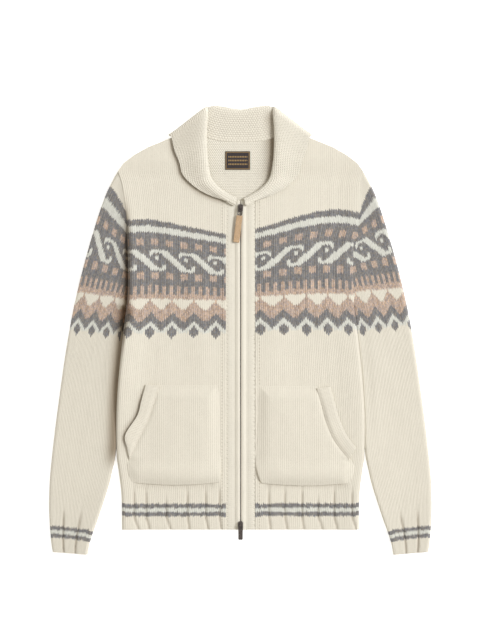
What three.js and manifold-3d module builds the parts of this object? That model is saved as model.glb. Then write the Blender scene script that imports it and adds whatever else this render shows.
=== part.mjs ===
// Zip cardigan in chunky wool knit, laid flat on its back: hem towards -Y, neck towards +Y.
// Millimetres, +Z up. X runs across the garment and Y is counted from the hem while it is built;
// the last lines move the origin to the middle of the underside. "right" and "left" are the
// wearer's, so the right front lies at -X.
import * as THREE from 'three';
import { mergeVertices } from 'three/addons/utils/BufferGeometryUtils.js';
import Module from 'manifold-3d';

const wasm = await Module();
wasm.setup();

// ---- driving dimensions ----
const WALL = 4; // thickness of the knit
const SEAM = 0.3; // gap kept between sewn pieces
const UNDERARM = 390; // height of the underarm point
const FOLD = { reach: 5.9, height: 11.8 }; // rounded side fold of the body
const TURN_UNDER = 8; // strip of the front that lies under the body
const ARMHOLE_TOP = 10.4; // height of the cloth at the armhole seam
const BAND = { outer: 25.4, inner: 2.3, top: 571.2 }; // zip bands
const HEM_RIB = 78; // depth of the ribbed hem
const CUFF_RIB = 27; // where the ribbed cuff begins, on the sleeve's outer fold
const RIB_GROOVE = { half: 3.5, depth: 1.4 }; // narrow groove between two wide ribs
const COLLAR_RISE = 5.2; // what the back collar lifts the back and fronts by
const LIFT = { from: 611, to: 649 }; // the back climbs over the collar's hidden fall here
const NECK_CLEAR = 0.6; // slack of the fronts over the back, near the neck
const LAYER = WALL + SEAM;

// ---- outlines, half garment: distance from the zip at each height ----
const SIDE = [
  { y: -10, x: 207 }, { y: 60, x: 208 }, { y: 103, x: 213 }, { y: 130, x: 216.5 },
  { y: 220, x: 216 }, { y: 322, x: 207 }, { y: UNDERARM + 10, x: 197.5 },
];
const ARMHOLE = [
  { y: UNDERARM - 10, x: 198.3 }, { y: 439, x: 196 }, { y: 543, x: 199 },
  { y: 600, x: 206 }, { y: 626, x: 214 },
];
const SHOULDER = [
  { y: 625, x: 214 }, { y: 639, x: 203.5 }, { y: 653, x: 185.5 }, { y: 667, x: 161 },
  { y: 679.5, x: 130 }, { y: 684, x: 119 }, { y: 693, x: 97 }, { y: 700.5, x: 80 },
];
const SLEEVE_OUTER = [
  { y: 632, x: 213 }, { y: 611, x: 224 }, { y: 583, x: 236 }, { y: 527, x: 255 },
  { y: 443, x: 278.5 }, { y: 359, x: 297 }, { y: 247, x: 314.5 }, { y: 107, x: 331.5 },
  { y: 40, x: 334.5 }, { y: -20, x: 331 }, { y: -46, x: 327 },
];
const SLEEVE_INNER = [
  { y: 150, x: 217.3 }, { y: 130, x: 218 }, { y: 101, x: 224 }, { y: 79, x: 229 },
  { y: 23, x: 247 }, { y: -20, x: 262 }, { y: -50, x: 268 },
];
// Courses of the sleeve run from the outer fold to the armhole or the inner fold.
const SLEEVE_COURSE = [
  { outer: -39, inner: -44 }, { outer: 27, inner: 16 }, { outer: 130, inner: 118 },
  { outer: 357, inner: 345 }, { outer: 426, inner: 411 }, { outer: 500, inner: 468 },
  { outer: 571, inner: 522 }, { outer: 591, inner: 545 }, { outer: 620, inner: 608 },
];
const HEM_GROOVES = { right: [37, 61, 93, 130, 165, 186], left: [49, 77, 107, 135, 163, 194] };
const CUFF_GROOVES = [0.34, 0.73]; // share of the cuff's width from its inner fold

// Soft ridges in the fronts: centre, half length, half width, turn from upright, height.
const RIDGES = {
  right: [
    { x: 112, y: 470, long: 120, wide: 30, turn: 18, rise: 1.6 },
    { x: 150, y: 300, long: 90, wide: 34, turn: -10, rise: 1.8 },
    { x: 70, y: 330, long: 110, wide: 26, turn: 6, rise: 1.3 },
  ],
  left: [
    { x: 105, y: 480, long: 130, wide: 28, turn: 14, rise: 1.5 },
    { x: 160, y: 330, long: 100, wide: 30, turn: -12, rise: 2.0 },
    { x: 62, y: 300, long: 90, wide: 24, turn: 4, rise: 1.2 },
  ],
};

// Collar sections from the centre back to its front end, half garment. seam is the neck seam,
// roll the line it rolls over, edge its free edge; turn is -90 where the fall lies under the
// back, 90 where it lies on the fronts.
const COLLAR = [
  { turn: -90, seam: [0, 678], roll: [0, 734], edge: [0, 650] },
  { turn: -90, seam: [34, 679.5], roll: [27, 738.5], edge: [50, 655] },
  { turn: -90, seam: [60, 686], roll: [43, 740], edge: [96, 668] },
  { turn: -80, seam: [75.5, 698], roll: [51, 733], edge: [118.5, 685] },
  { turn: 0, seam: [76.5, 699], roll: [52, 731.5], edge: [120, 684.5] },
  { turn: 80, seam: [76, 695.5], roll: [54, 728], edge: [119.5, 682.5] },
  { turn: 90, seam: [74, 673], roll: [58.5, 700], edge: [115, 661] },
  { turn: 90, seam: [72.5, 648], roll: [58.5, 670], edge: [106.5, 640] },
  { turn: 90, seam: [70, 624], roll: [56.5, 642], edge: [101, 620] },
  { turn: 90, seam: [62, 602], roll: [50, 613], edge: [86, 603] },
  { turn: 90, seam: [44, 585.5], roll: [33, 594], edge: [64, 588] },
  { turn: 90, seam: [25, 575.5], roll: [17, 584], edge: [37, 577.5] },
  { turn: 90, seam: [6.5, 571.6], roll: [6, 579], edge: [8, 574] },
];
const COLLAR_TURN = { reach: 4.2, half: 3.6 }; // the roll: half thickness between wall middles

// Pockets: inner edge and the seam of the ribbed band, or the side below it, at each height.
const POCKET = {
  right: [
    { y: 82, inner: 37, outer: 189 }, { y: 88, inner: 35, outer: 193 },
    { y: 112, inner: 34.5, outer: 198.5 }, { y: 138, inner: 35, outer: 188 },
    { y: 160, inner: 35.5, outer: 178 }, { y: 190, inner: 36, outer: 163 },
    { y: 220, inner: 37, outer: 152.5 }, { y: 252.5, inner: 38, outer: 142 },
  ],
  left: [
    { y: 81, inner: 37, outer: 190 }, { y: 88, inner: 33, outer: 194 },
    { y: 112, inner: 26.5, outer: 198 }, { y: 134, inner: 27, outer: 181 },
    { y: 158, inner: 29, outer: 163 }, { y: 190, inner: 30, outer: 149.5 },
    { y: 220, inner: 31, outer: 141.5 }, { y: 251, inner: 32, outer: 133 },
  ],
};
const POCKET_BAND = { // its seam with the pocket and its free edge, from the bottom up
  right: [
    { seam: [195.5, 124], free: [204.5, 147] }, { seam: [179, 159], free: [200, 169] },
    { seam: [163.8, 190], free: [183.5, 196.5] }, { seam: [153.2, 221], free: [173.5, 226] },
    { seam: [143.5, 251], free: [165, 253.5] },
  ],
  left: [
    { seam: [191, 122], free: [201.5, 143] }, { seam: [167, 153], free: [186, 163.5] },
    { seam: [151.5, 187], free: [172, 194] }, { seam: [143.5, 216], free: [164.5, 221] },
    { seam: [135, 246.5], free: [156.5, 250] },
  ],
};
const POCKET_LIFT = 2.2; // slack of the pocket over the front, inside
const BAND_RIBS = 13;

const LABEL = { x: -5, y: 644, width: 43.5, depth: 32, thick: 0.8 };
const CHAIN = { half: 2, bottom: 4.3, top: 9.7, from: 2, to: 569 };
const SLIDER = { width: 8.6, length: 13, bottom: 10.1, thick: 3 };
const BAIL = { radius: 3.1, hole: 1.8, eye: 1.5, width: 3 };
const UPPER = { y: 561, lean: -7 };
const LOWER = { y: 8, lean: 0 };
const DROOP = 2.5; // degrees that a lying pull sinks towards its free end
const STIRRUP = { length: 14, width: 8.4, wire: 1.7, thick: 1.5 };
const TAB = { width: 11.5, length: 47, thick: 2.6, corner: 2.2 };
const METAL_PULL = { length: 8, width: 8, wire: 1.7, thick: 1.5, tail: 18 };

const material = (color, roughness, metalness) => (
  new THREE.MeshStandardMaterial({ color, roughness, metalness }));
const WOOL = material(0xe9e3d1, 0.95, 0);
const RIB_WOOL = material(0xe4dfcf, 0.95, 0);
const METAL = material(0x54545a, 0.35, 1);
const LEATHER = material(0xc8b394, 0.6, 0);
const WOVEN = material(0x45362e, 0.8, 0);

// ---- small mathematics ----
const clamp01 = (v) => Math.min(Math.max(v, 0), 1);
const ease = (v) => clamp01(v) ** 2 * (3 - 2 * clamp01(v));
const mix = (a, b, t) => a + (b - a) * t;
const dome = (t) => Math.sqrt(Math.max(Math.sin(Math.PI * clamp01(t)), 0));
const steps = (from, to, count) => (
  Array.from({ length: count + 1 }, (_, i) => mix(from, to, i / count)));

// Smooth curve through a table's rows: value of one column at a value of another.
function lookup(table, key, name) {
  const rows = [...table].sort((a, b) => a[key] - b[key]);
  const slope = (i) => {
    const low = rows[Math.max(i - 1, 0)];
    const high = rows[Math.min(i + 1, rows.length - 1)];
    return (high[name] - low[name]) / (high[key] - low[key]);
  };
  return (at) => {
    let i = 0;
    while (i < rows.length - 2 && at > rows[i + 1][key]) i += 1;
    const span = rows[i + 1][key] - rows[i][key];
    const t = clamp01((at - rows[i][key]) / span);
    const a = rows[i][name];
    const b = rows[i + 1][name];
    return (2 * t ** 3 - 3 * t ** 2 + 1) * a + (t ** 3 - 2 * t ** 2 + t) * span * slope(i)
      + (3 * t ** 2 - 2 * t ** 3) * b + (t ** 3 - t ** 2) * span * slope(i + 1);
  };
}

// ---- a sheet of cloth as a closed wall ----
// outer and inner give a vertex for column i and row j; present says which cells are cloth.
function wallGeometry({ cols, rows, outer, inner, present = () => true }) {
  const points = [];
  const index = new Map();
  const faces = [];
  const has = (i, j) => i >= 0 && j >= 0 && i < cols - 1 && j < rows - 1 && present(i, j);
  const vertex = (i, j, inside) => {
    const key = `${i},${j},${inside}`;
    if (!index.has(key)) {
      index.set(key, points.length / 3);
      const p = inside ? inner(i, j) : outer(i, j);
      points.push(p.x, p.y, p.z);
    }
    return index.get(key);
  };
  const quad = (a, b, c, d) => faces.push(a, b, c, a, c, d);
  for (let j = 0; j < rows - 1; j += 1) {
    for (let i = 0; i < cols - 1; i += 1) {
      if (!has(i, j)) continue;
      const [a, b, c, d] = [[i, j], [i + 1, j], [i + 1, j + 1], [i, j + 1]];
      quad(vertex(...a, 0), vertex(...b, 0), vertex(...c, 0), vertex(...d, 0));
      quad(vertex(...d, 1), vertex(...c, 1), vertex(...b, 1), vertex(...a, 1));
      const rim = (p, q) => quad(vertex(...q, 0), vertex(...p, 0), vertex(...p, 1), vertex(...q, 1));
      if (!has(i, j - 1)) rim(a, b);
      if (!has(i + 1, j)) rim(b, c);
      if (!has(i, j + 1)) rim(c, d);
      if (!has(i - 1, j)) rim(d, a);
    }
  }
  return closedGeometry(points, faces);
}

// Turns the faces outward when the enclosed volume comes out negative.
function closedGeometry(points, faces) {
  const corner = (k) => new THREE.Vector3().fromArray(points, 3 * faces[k]);
  let volume = 0;
  for (let k = 0; k < faces.length; k += 3) {
    volume += corner(k).dot(corner(k + 1).cross(corner(k + 2)));
  }
  if (volume < 0) faces.reverse();
  const geometry = new THREE.BufferGeometry();
  geometry.setAttribute('position', new THREE.Float32BufferAttribute(points, 3));
  geometry.setIndex(faces);
  return geometry;
}

// Wall on a smooth surface: surface(a, b) at the grid's values, thickened along its normal.
// relief is what the outer face adds or takes, over a plain inside.
function sheet({ across, along, surface, side, relief = () => 0, present, thick = WALL, middle }) {
  const step = 1e-3;
  const normal = (a, b) => {
    const da = surface(a + step, b).sub(surface(a - step, b));
    const db = surface(a, b + step).sub(surface(a, b - step));
    return da.cross(db).normalize().multiplyScalar(side);
  };
  const place = (i, j, depth) => (
    surface(across[i], along[j]).addScaledVector(normal(across[i], along[j]), depth));
  const out = middle ? thick / 2 : 0;
  return wallGeometry({
    cols: across.length,
    rows: along.length,
    outer: (i, j) => place(i, j, out + relief(across[i], along[j])),
    inner: (i, j) => place(i, j, out - thick),
    present,
  });
}

const mirrored = (geometry) => {
  const copy = geometry.clone().scale(-1, 1, 1);
  copy.setIndex([...copy.index.array].reverse());
  return copy;
};
const bySide = (side, geometry) => (side === 'right' ? mirrored(geometry) : geometry);

const group = new THREE.Group();
const garment = new THREE.Group();
group.add(garment);
function addNode(name, geometry, finish) {
  const mesh = new THREE.Mesh(geometry, finish);
  mesh.name = name;
  garment.add(mesh);
  return mesh;
}

// ---- the collar's lines, which the neck edges of the fronts and back follow ----
const stations = COLLAR.map((row, at) => ({
  at, turn: row.turn, seamX: row.seam[0], seamY: row.seam[1], rollX: row.roll[0],
  rollY: row.roll[1], edgeX: row.edge[0], edgeY: row.edge[1],
}));
const collarAt = Object.fromEntries(
  ['turn', 'seamX', 'seamY', 'rollX', 'rollY', 'edgeX', 'edgeY']
    .map((name) => [name, lookup(stations, 'at', name)]));
const seamPoints = steps(0, stations.length - 1, 120)
  .map((at) => ({ x: collarAt.seamX(at), y: collarAt.seamY(at) }));
const HIGH_NECK = 4.3; // station where the neck seam turns from back to front
const backNeck = seamPoints.slice(0, Math.round((HIGH_NECK / (stations.length - 1)) * 120));
const frontNeck = seamPoints.slice(Math.round((HIGH_NECK / (stations.length - 1)) * 120));

// Rows and columns that neighbouring pieces share along their seams.
const NECK_STATIONS = [4.5, 4.75, 5, 5.8, 6.6, 7.3, 8, 8.6, 9.2, 10, 11];
const BACK_STATIONS = [0.6, 1.2, 2, 2.6, 3, 3.5];
const neckRows = NECK_STATIONS.map((at) => collarAt.seamY(at)).reverse();
const bodyRows = [
  0, 4, 50, HEM_RIB - 2, HEM_RIB + 5, 112, 150, 190, 235, 285, 340, UNDERARM - 0.15,
  UNDERARM + 1.2,
];

// ---- heights of the layers ----
const lift = (y) => COLLAR_RISE * ease((y - LIFT.from) / (LIFT.to - LIFT.from));
const slackOver = (y) => NECK_CLEAR * ease((y - 580) / 20);
const ridge = (side, x, y) => RIDGES[side].reduce((sum, r) => {
  const turn = THREE.MathUtils.degToRad(r.turn);
  const along = (y - r.y) * Math.cos(turn) + (x - r.x) * Math.sin(turn);
  const off = (x - r.x) * Math.cos(turn) - (y - r.y) * Math.sin(turn);
  return sum + r.rise * Math.exp(-((along / r.long) ** 2) - (off / r.wide) ** 2);
}, 0);
const sideAt = lookup(SIDE, 'y', 'x');
const armholeAt = lookup(ARMHOLE, 'y', 'x');
const shoulderAt = lookup(SHOULDER, 'y', 'x');
const frontNeckAt = lookup(frontNeck, 'y', 'x');

function frontTop(side, x, y) {
  const edge = y < UNDERARM ? sideAt(y) - FOLD.reach : armholeAt(Math.min(y, 625));
  const rise = mix(FOLD.height, ARMHOLE_TOP, ease((y - UNDERARM + 40) / 60)) - LAYER - WALL;
  const bulge = ease(1 - (edge - x) / 42) * rise * ease((668 - y) / 60);
  const calm = ease((x - 28) / 20) * ease((edge - x) / 30) * ease((y - HEM_RIB) / 30)
    * ease((600 - y) / 60);
  return LAYER + WALL + lift(y) + slackOver(y) + bulge + ridge(side, x, y) * calm;
}

// ---- fronts ----
const foldPoint = (centre, reach, height, angle) => [
  centre + reach * Math.cos(angle), (height / 2) * (1 + Math.sin(angle))];

function front(side) {
  const startAt = (y) => Math.max(BAND.outer + SEAM / 2, y > 576 ? frontNeckAt(y) + 0.7 : 0);
  const endAt = (y) => {
    if (y < UNDERARM) return sideAt(y) - FOLD.reach;
    return y < 625 ? armholeAt(y) - SEAM / 2 : shoulderAt(y);
  };
  const surface = (a, y) => {
    if (a <= 1) {
      const x = mix(startAt(y), endAt(y), a);
      return new THREE.Vector3(x, y, frontTop(side, x, y));
    }
    if (a <= 2) {
      const angle = Math.PI * (1.5 - a);
      const [x, z] = foldPoint(sideAt(y) - FOLD.reach, FOLD.reach, FOLD.height, angle);
      return new THREE.Vector3(x, y, z);
    }
    return new THREE.Vector3(sideAt(y) - FOLD.reach - (a - 2) * TURN_UNDER, y, 0);
  };
  const hemWidth = sideAt(0) - FOLD.reach - BAND.outer;
  const grooves = HEM_GROOVES[side].map((x) => (x - BAND.outer) / hemWidth);
  const half = RIB_GROOVE.half / hemWidth;
  const flat = grooves.flatMap((u) => [u - half, u, u + half]);
  const across = [0, ...flat, 1, ...steps(1, 2, 4).slice(1), 3];
  const along = [...bodyRows, 440, 500, 555, 624.5, 660, ...neckRows].sort((a, b) => a - b);
  const relief = (a, y) => {
    const rib = grooves.some((u) => Math.abs(a - u) < half / 2) && y <= HEM_RIB;
    const shoulderEdge = y > 624 && a > 0.99;
    return (rib ? -RIB_GROOVE.depth : 0) - (shoulderEdge ? 2.2 : 0);
  };
  const lastFlat = across.indexOf(1);
  const firstArmhole = along.indexOf(UNDERARM - 0.15);
  const geometry = sheet({
    across, along, surface, side: 1, relief,
    present: (i, j) => i < lastFlat || j < firstArmhole,
  });
  addNode(`front_${side}`, bySide(side, geometry), WOOL);
}
front('right');
front('left');

// ---- back ----
function back() {
  const topAt = lookup([
    ...backNeck.filter((_, i) => i % 6 === 0).map((p) => ({ x: p.x, y: p.y - 0.7 })),
    ...SHOULDER.map((p) => ({ x: p.x, y: p.y })).filter((p) => p.x >= 80),
  ], 'x', 'y');
  const halfWidth = (y) => {
    if (y < UNDERARM) return sideAt(y) - FOLD.reach - TURN_UNDER - SEAM;
    return y < 625 ? armholeAt(y) - SEAM / 2 : SHOULDER[0].x;
  };
  const surface = (u, v) => {
    const top = topAt(Math.abs(u) * SHOULDER[0].x);
    const y = v <= UNDERARM + 2 ? v : mix(UNDERARM + 2, top, (v - UNDERARM - 2) / 200);
    const x = u * halfWidth(y);
    return new THREE.Vector3(x, y, WALL + lift(y));
  };
  const neckColumns = BACK_STATIONS.map((at) => collarAt.seamX(at) / SHOULDER[0].x);
  const half = [0, ...neckColumns, 0.5, 0.7, 0.87, 1];
  const across = [...half.slice(1).reverse().map((u) => -u), ...half];
  const along = [
    ...bodyRows,
    ...[0.15, 0.35, 0.55, 0.7, 0.76, 0.79, 0.82, 0.85, 0.88, 0.94, 1].map((s) => UNDERARM + 2 + 200 * s),
  ];
  addNode('back', sheet({ across, along, surface, side: 1 }), WOOL);
}
back();

// ---- sleeves ----
function sleeve(side) {
  const outerAt = lookup(SLEEVE_OUTER, 'y', 'x');
  const lowInner = lookup(SLEEVE_INNER, 'y', 'x');
  const courseInner = lookup(SLEEVE_COURSE, 'outer', 'inner');
  const innerAt = (y) => {
    if (y >= UNDERARM) return armholeAt(y) + SEAM / 2;
    return y > 150 ? sideAt(y) + 0.7 : lowInner(y);
  };
  const height = (y) => mix(9.6, ARMHOLE_TOP, ease((y - UNDERARM + 60) / 70));
  const surface = (a, course) => {
    const innerY = courseInner(course);
    const sewn = innerY >= UNDERARM;
    const start = new THREE.Vector3(innerAt(innerY), innerY, 0);
    const end = new THREE.Vector3(outerAt(course), course, 0);
    const width = start.distanceTo(end);
    const direction = end.clone().sub(start).divideScalar(width);
    const tall = height(innerY);
    const outerReach = Math.min(5.6, width * 0.42);
    const innerReach = sewn ? 0 : 4.8;
    const flatTop = (share) => tall - 1.4 * Math.sin(Math.PI * share) * ease(width / 60);
    let along;
    let z;
    if (a < 1) {
      along = innerReach * (1 - Math.cos(a * Math.PI / 2));
      z = tall / 2 + SEAM / 2 + (tall / 2 - SEAM / 2) * Math.sin(a * Math.PI / 2);
    } else if (a <= 2) {
      along = mix(innerReach, width - outerReach, a - 1);
      z = flatTop(a - 1);
    } else if (a <= 3) {
      [along, z] = foldPoint(width - outerReach, outerReach, tall, Math.PI * (2.5 - a));
    } else if (a <= 4) {
      along = mix(width - outerReach, innerReach, a - 3);
      z = 0;
    } else {
      along = innerReach * (1 - Math.sin((a - 4) * Math.PI / 2));
      z = (tall / 2 - SEAM / 2) * (1 - Math.cos((a - 4) * Math.PI / 2));
    }
    return start.addScaledVector(direction, along).setZ(z);
  };
  const half = 0.045;
  const top = [0.17, ...CUFF_GROOVES.flatMap((u) => [u - half, u, u + half]), 0.88]
    .map((u) => 1 + u).sort((a, b) => a - b);
  const across = [
    0, 0.5, 1, ...top, ...steps(2, 3, 4), 3.5, 4, 4.5, 5,
  ];
  const underarmCourse = steps(UNDERARM, 430, 400)
    .find((course) => courseInner(course) >= UNDERARM);
  const along = [
    -39, -35, 0, CUFF_RIB, CUFF_RIB + 6, 75, 120, 180, 250, 310, 365,
    underarmCourse - 0.8, underarmCourse + 0.8, 445, 495, 540, 571, 591, 608, 619.5,
  ];
  const relief = (a, course) => {
    const groove = CUFF_GROOVES.some((u) => Math.abs(a - 1 - u) < half / 2);
    return groove && course <= CUFF_RIB ? -RIB_GROOVE.depth : 0;
  };
  const sewnRow = along.indexOf(underarmCourse - 0.8);
  const topStart = across.indexOf(1);
  const bottomEnd = across.indexOf(4);
  const geometry = sheet({
    across, along, surface, side: 1, relief,
    present: (i, j) => j < sewnRow || (i >= topStart && i < bottomEnd),
  });
  addNode(`sleeve_${side}`, bySide(side, geometry), WOOL);
}
sleeve('right');
sleeve('left');

// ---- collar ----
function collarPoint(at, s) {
  const mirror = at < 0 ? -1 : 1;
  const t = Math.abs(at);
  const turn = THREE.MathUtils.degToRad(THREE.MathUtils.clamp(collarAt.turn(t), -90, 90));
  const seam = new THREE.Vector2(collarAt.seamX(t), collarAt.seamY(t));
  const roll = new THREE.Vector2(collarAt.rollX(t), collarAt.rollY(t));
  const edge = new THREE.Vector2(collarAt.edgeX(t), collarAt.edgeY(t));
  const toward = roll.clone().sub(seam.clone().lerp(edge, 0.5)).normalize();
  const apex = roll.addScaledVector(toward, -WALL / 2 - COLLAR_TURN.reach);
  const near = 2.15; // wall middle of the stand from the neck's middle layer
  const far = near + 2 * COLLAR_TURN.half;
  const flat = near + COLLAR_RISE;
  const plan = new THREE.Vector2();
  let q;
  if (s <= 1) {
    plan.lerpVectors(seam, apex, s);
    q = near;
  } else if (s <= 2) {
    const angle = Math.PI * (s - 1.5);
    plan.copy(apex).addScaledVector(toward, COLLAR_TURN.reach * Math.cos(angle));
    q = mix(near, far, (1 + Math.sin(angle)) / 2);
  } else {
    plan.lerpVectors(apex, edge, s - 2);
    q = mix(far, flat, ease((s - 2) * 1.25));
  }
  const outboard = new THREE.Vector2(0.55, 0.835);
  const back = (1 - Math.sin(turn)) / 2;
  const slack = s <= 1 ? (far - flat) * ease(s) : far - flat;
  const fallSlack = s > 2 ? q - flat : slack;
  const core = 4.15 + lift(plan.y) + (1 - back) * slackOver(plan.y) + back * fallSlack;
  const x = plan.x + outboard.x * Math.cos(turn) * q;
  const y = plan.y + outboard.y * Math.cos(turn) * q;
  return new THREE.Vector3(mirror * x, y, core + Math.sin(turn) * q);
}
function collar() {
  const last = stations.length - 1;
  const half = [...BACK_STATIONS, 3.75, 4, 4.25, ...NECK_STATIONS, last];
  const across = [...half.slice().reverse().map((t) => -t), 0, ...half];
  const along = [0, 0.5, 1, 1.2, 1.4, 1.6, 1.8, 2, 2.25, 2.5, 2.75, 3];
  const surface = (at, s) => collarPoint(at, s);
  addNode('collar', sheet({ across, along, surface, side: 1, middle: true }), WOOL);
}
collar();

// ---- zip bands ----
function zipBand(side) {
  const profile = [ // distance from the zip and height of the band's outer face
    { x: BAND.inner, z: 7.6 }, { x: BAND.inner + 1.2, z: 9.2 }, { x: BAND.inner + 3.6, z: 9.8 },
    { x: BAND.inner + 6, z: 9.2 }, { x: BAND.inner + 7.4, z: 8.1 }, { x: 17, z: 8.4 },
    { x: BAND.outer - SEAM / 2, z: 8.3 },
  ];
  const rows = [0, 40, 150, 300, 450, BAND.top];
  const geometry = wallGeometry({
    cols: profile.length,
    rows: rows.length,
    outer: (i, j) => new THREE.Vector3(profile[i].x, rows[j], profile[i].z),
    inner: (i, j) => new THREE.Vector3(profile[i].x, rows[j], LAYER),
  });
  addNode(`zip_band_${side}`, bySide(side, geometry), RIB_WOOL);
}
zipBand('right');
zipBand('left');

// ---- pockets ----
function pocket(side) {
  const innerAt = lookup(POCKET[side], 'y', 'inner');
  const outerAt = lookup(POCKET[side], 'y', 'outer');
  const rows = POCKET[side].map((row) => row.y);
  const along = rows.flatMap((y, i) => (i && y - rows[i - 1] > 20 ? [(y + rows[i - 1]) / 2, y] : [y]));
  const across = [0, 0.03, 0.14, 0.32, 0.5, 0.68, 0.86, 0.97, 1];
  const sag = (u) => -4.5 * Math.sin(Math.PI * u);
  const surface = (u, y) => {
    const x = mix(innerAt(y), outerAt(y), u);
    const low = ease((118 - y) / 36);
    const slack = dome(u) * ease((253 - y) / 25) * ease((y - 80) / 16);
    const z = frontTop(side, x, y) + LAYER + POCKET_LIFT * slack;
    return new THREE.Vector3(x, y + sag(u) * low, z);
  };
  addNode(`pocket_${side}`, bySide(side, sheet({ across, along, surface, side: 1 })), WOOL);

  const rowsBand = POCKET_BAND[side].map((row, at) => ({
    at, seamX: row.seam[0], seamY: row.seam[1], freeX: row.free[0], freeY: row.free[1],
  }));
  const line = Object.fromEntries(['seamX', 'seamY', 'freeX', 'freeY']
    .map((name) => [name, lookup(rowsBand, 'at', name)]));
  const bandSurface = (w, at) => {
    const x = mix(line.seamX(at) + 0.9, line.freeX(at), w);
    const y = mix(line.seamY(at), line.freeY(at), w);
    const z = frontTop(side, x, y) + LAYER + POCKET_LIFT * dome(at / 4);
    return new THREE.Vector3(x, y, z);
  };
  const ribLines = steps(0, rowsBand.length - 1, BAND_RIBS * 2);
  const relief = (w, at) => (ribLines.indexOf(at) % 2 ? 0 : -0.8);
  const band = sheet({
    across: [0, 0.93, 1], along: ribLines, surface: bandSurface, side: 1, relief, thick: WALL - 0.2,
  });
  addNode(`pocket_band_${side}`, bySide(side, band), RIB_WOOL);
}
pocket('right');
pocket('left');

// ---- neck label ----
function label() {
  const surface = (x, y) => new THREE.Vector3(x, y, WALL + lift(y) + SEAM + LABEL.thick);
  const across = steps(LABEL.x - LABEL.width / 2, LABEL.x + LABEL.width / 2, 2);
  const along = steps(LABEL.y - LABEL.depth / 2, LABEL.y + LABEL.depth / 2, 4);
  addNode('neck_label', sheet({ across, along, surface, side: 1, thick: LABEL.thick }), WOVEN);
}
label();

// ---- zip ----
const box = (width, length, thick) => new THREE.BoxGeometry(width, length, thick);
const chain = box(2 * CHAIN.half, CHAIN.to - CHAIN.from, CHAIN.top - CHAIN.bottom);
chain.translate(0, (CHAIN.from + CHAIN.to) / 2, (CHAIN.bottom + CHAIN.top) / 2);
addNode('zip_chain', chain, METAL);

// Plate with a rounded outline, its length along Y.
function plate(width, length, thick, corner, holes = []) {
  const shape = new THREE.Shape();
  const [w, l] = [width / 2, length / 2];
  shape.moveTo(-w + corner, -l);
  shape.lineTo(w - corner, -l);
  shape.absarc(w - corner, -l + corner, corner, -Math.PI / 2, 0);
  shape.lineTo(w, l - corner);
  shape.absarc(w - corner, l - corner, corner, 0, Math.PI / 2);
  shape.lineTo(-w + corner, l);
  shape.absarc(-w + corner, l - corner, corner, Math.PI / 2, Math.PI);
  shape.lineTo(-w, -l + corner);
  shape.absarc(-w + corner, -l + corner, corner, Math.PI, Math.PI * 1.5);
  holes.forEach(({ y, halfX, halfY }) => {
    const corners = [[-halfX, y - halfY], [-halfX, y + halfY], [halfX, y + halfY], [halfX, y - halfY]];
    shape.holes.push(new THREE.Path(corners.map(([a, b]) => new THREE.Vector2(a, b))));
  });
  return new THREE.ExtrudeGeometry(shape, {
    depth: thick, bevelEnabled: false, curveSegments: 6, steps: 1,
  });
}

// Closed solid for a boolean join.
function solidOf(geometry) {
  const bare = geometry.clone();
  bare.deleteAttribute('normal');
  bare.deleteAttribute('uv');
  const merged = mergeVertices(bare, 1e-4);
  return new wasm.Manifold(new wasm.Mesh({
    numProp: 3,
    vertProperties: new Float32Array(merged.attributes.position.array),
    triVerts: new Uint32Array(merged.index.array),
  }));
}
function joined(first, second) {
  const mesh = solidOf(first).add(solidOf(second)).getMesh();
  const geometry = new THREE.BufferGeometry();
  geometry.setAttribute('position', new THREE.BufferAttribute(mesh.vertProperties, 3));
  geometry.setIndex(new THREE.BufferAttribute(mesh.triVerts, 1));
  return geometry;
}

// Slider: a body plate and the arched bail that holds the pull, one casting.
function slider(name, y) {
  const top = SLIDER.bottom + SLIDER.thick;
  const body = plate(SLIDER.width, SLIDER.length, SLIDER.thick, 2.6);
  body.translate(0, y, SLIDER.bottom);
  const outline = new THREE.Shape();
  outline.moveTo(-BAIL.radius, -0.5);
  outline.lineTo(BAIL.radius, -0.5);
  outline.lineTo(BAIL.radius, BAIL.eye);
  outline.absarc(0, BAIL.eye, BAIL.radius, 0, Math.PI);
  outline.closePath();
  const eye = new THREE.Path();
  eye.absarc(0, BAIL.eye, BAIL.hole, 0, Math.PI * 2, true);
  outline.holes.push(eye);
  const bail = new THREE.ExtrudeGeometry(outline, {
    depth: BAIL.width, bevelEnabled: false, curveSegments: 7,
  });
  bail.translate(0, 0, -BAIL.width / 2);
  bail.rotateX(Math.PI / 2).rotateZ(Math.PI / 2);
  bail.translate(0, y, top);
  addNode(name, joined(body, bail), METAL);
}
slider('zip_slider_upper', UPPER.y);
slider('zip_slider_lower', LOWER.y);

// A pull hangs in the slider's eye and lies towards the hem, drooping a little.
function placePull(geometry, { y, lean }) {
  geometry.rotateZ(THREE.MathUtils.degToRad(lean));
  geometry.rotateX(THREE.MathUtils.degToRad(DROOP));
  return geometry.translate(0, y, SLIDER.bottom + SLIDER.thick + BAIL.eye);
}
function ringPlate({ width, length, wire, thick, tail = 0 }) {
  const ring = plate(width, length + tail, thick, 1.6, [
    { x: 0, y: (length + tail) / 2 - length / 2, halfX: width / 2 - wire, halfY: length / 2 - wire },
  ]);
  return ring.translate(0, wire / 2 - (length + tail) / 2, -thick / 2);
}
addNode('zip_pull_link', placePull(ringPlate(STIRRUP), UPPER), METAL);
const tab = plate(TAB.width, TAB.length, TAB.thick, TAB.corner);
tab.translate(0, STIRRUP.wire / 2 - STIRRUP.length - SEAM - TAB.length / 2, -TAB.thick / 2);
addNode('zip_pull_leather', placePull(tab, UPPER), LEATHER);
addNode('zip_pull_lower', placePull(ringPlate(METAL_PULL), LOWER), METAL);

// ---- origin: middle of the underside ----
const bounds = new THREE.Box3().setFromObject(garment);
const middle = bounds.getCenter(new THREE.Vector3());
garment.position.set(-middle.x, -middle.y, -bounds.min.z);

export default group;
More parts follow.
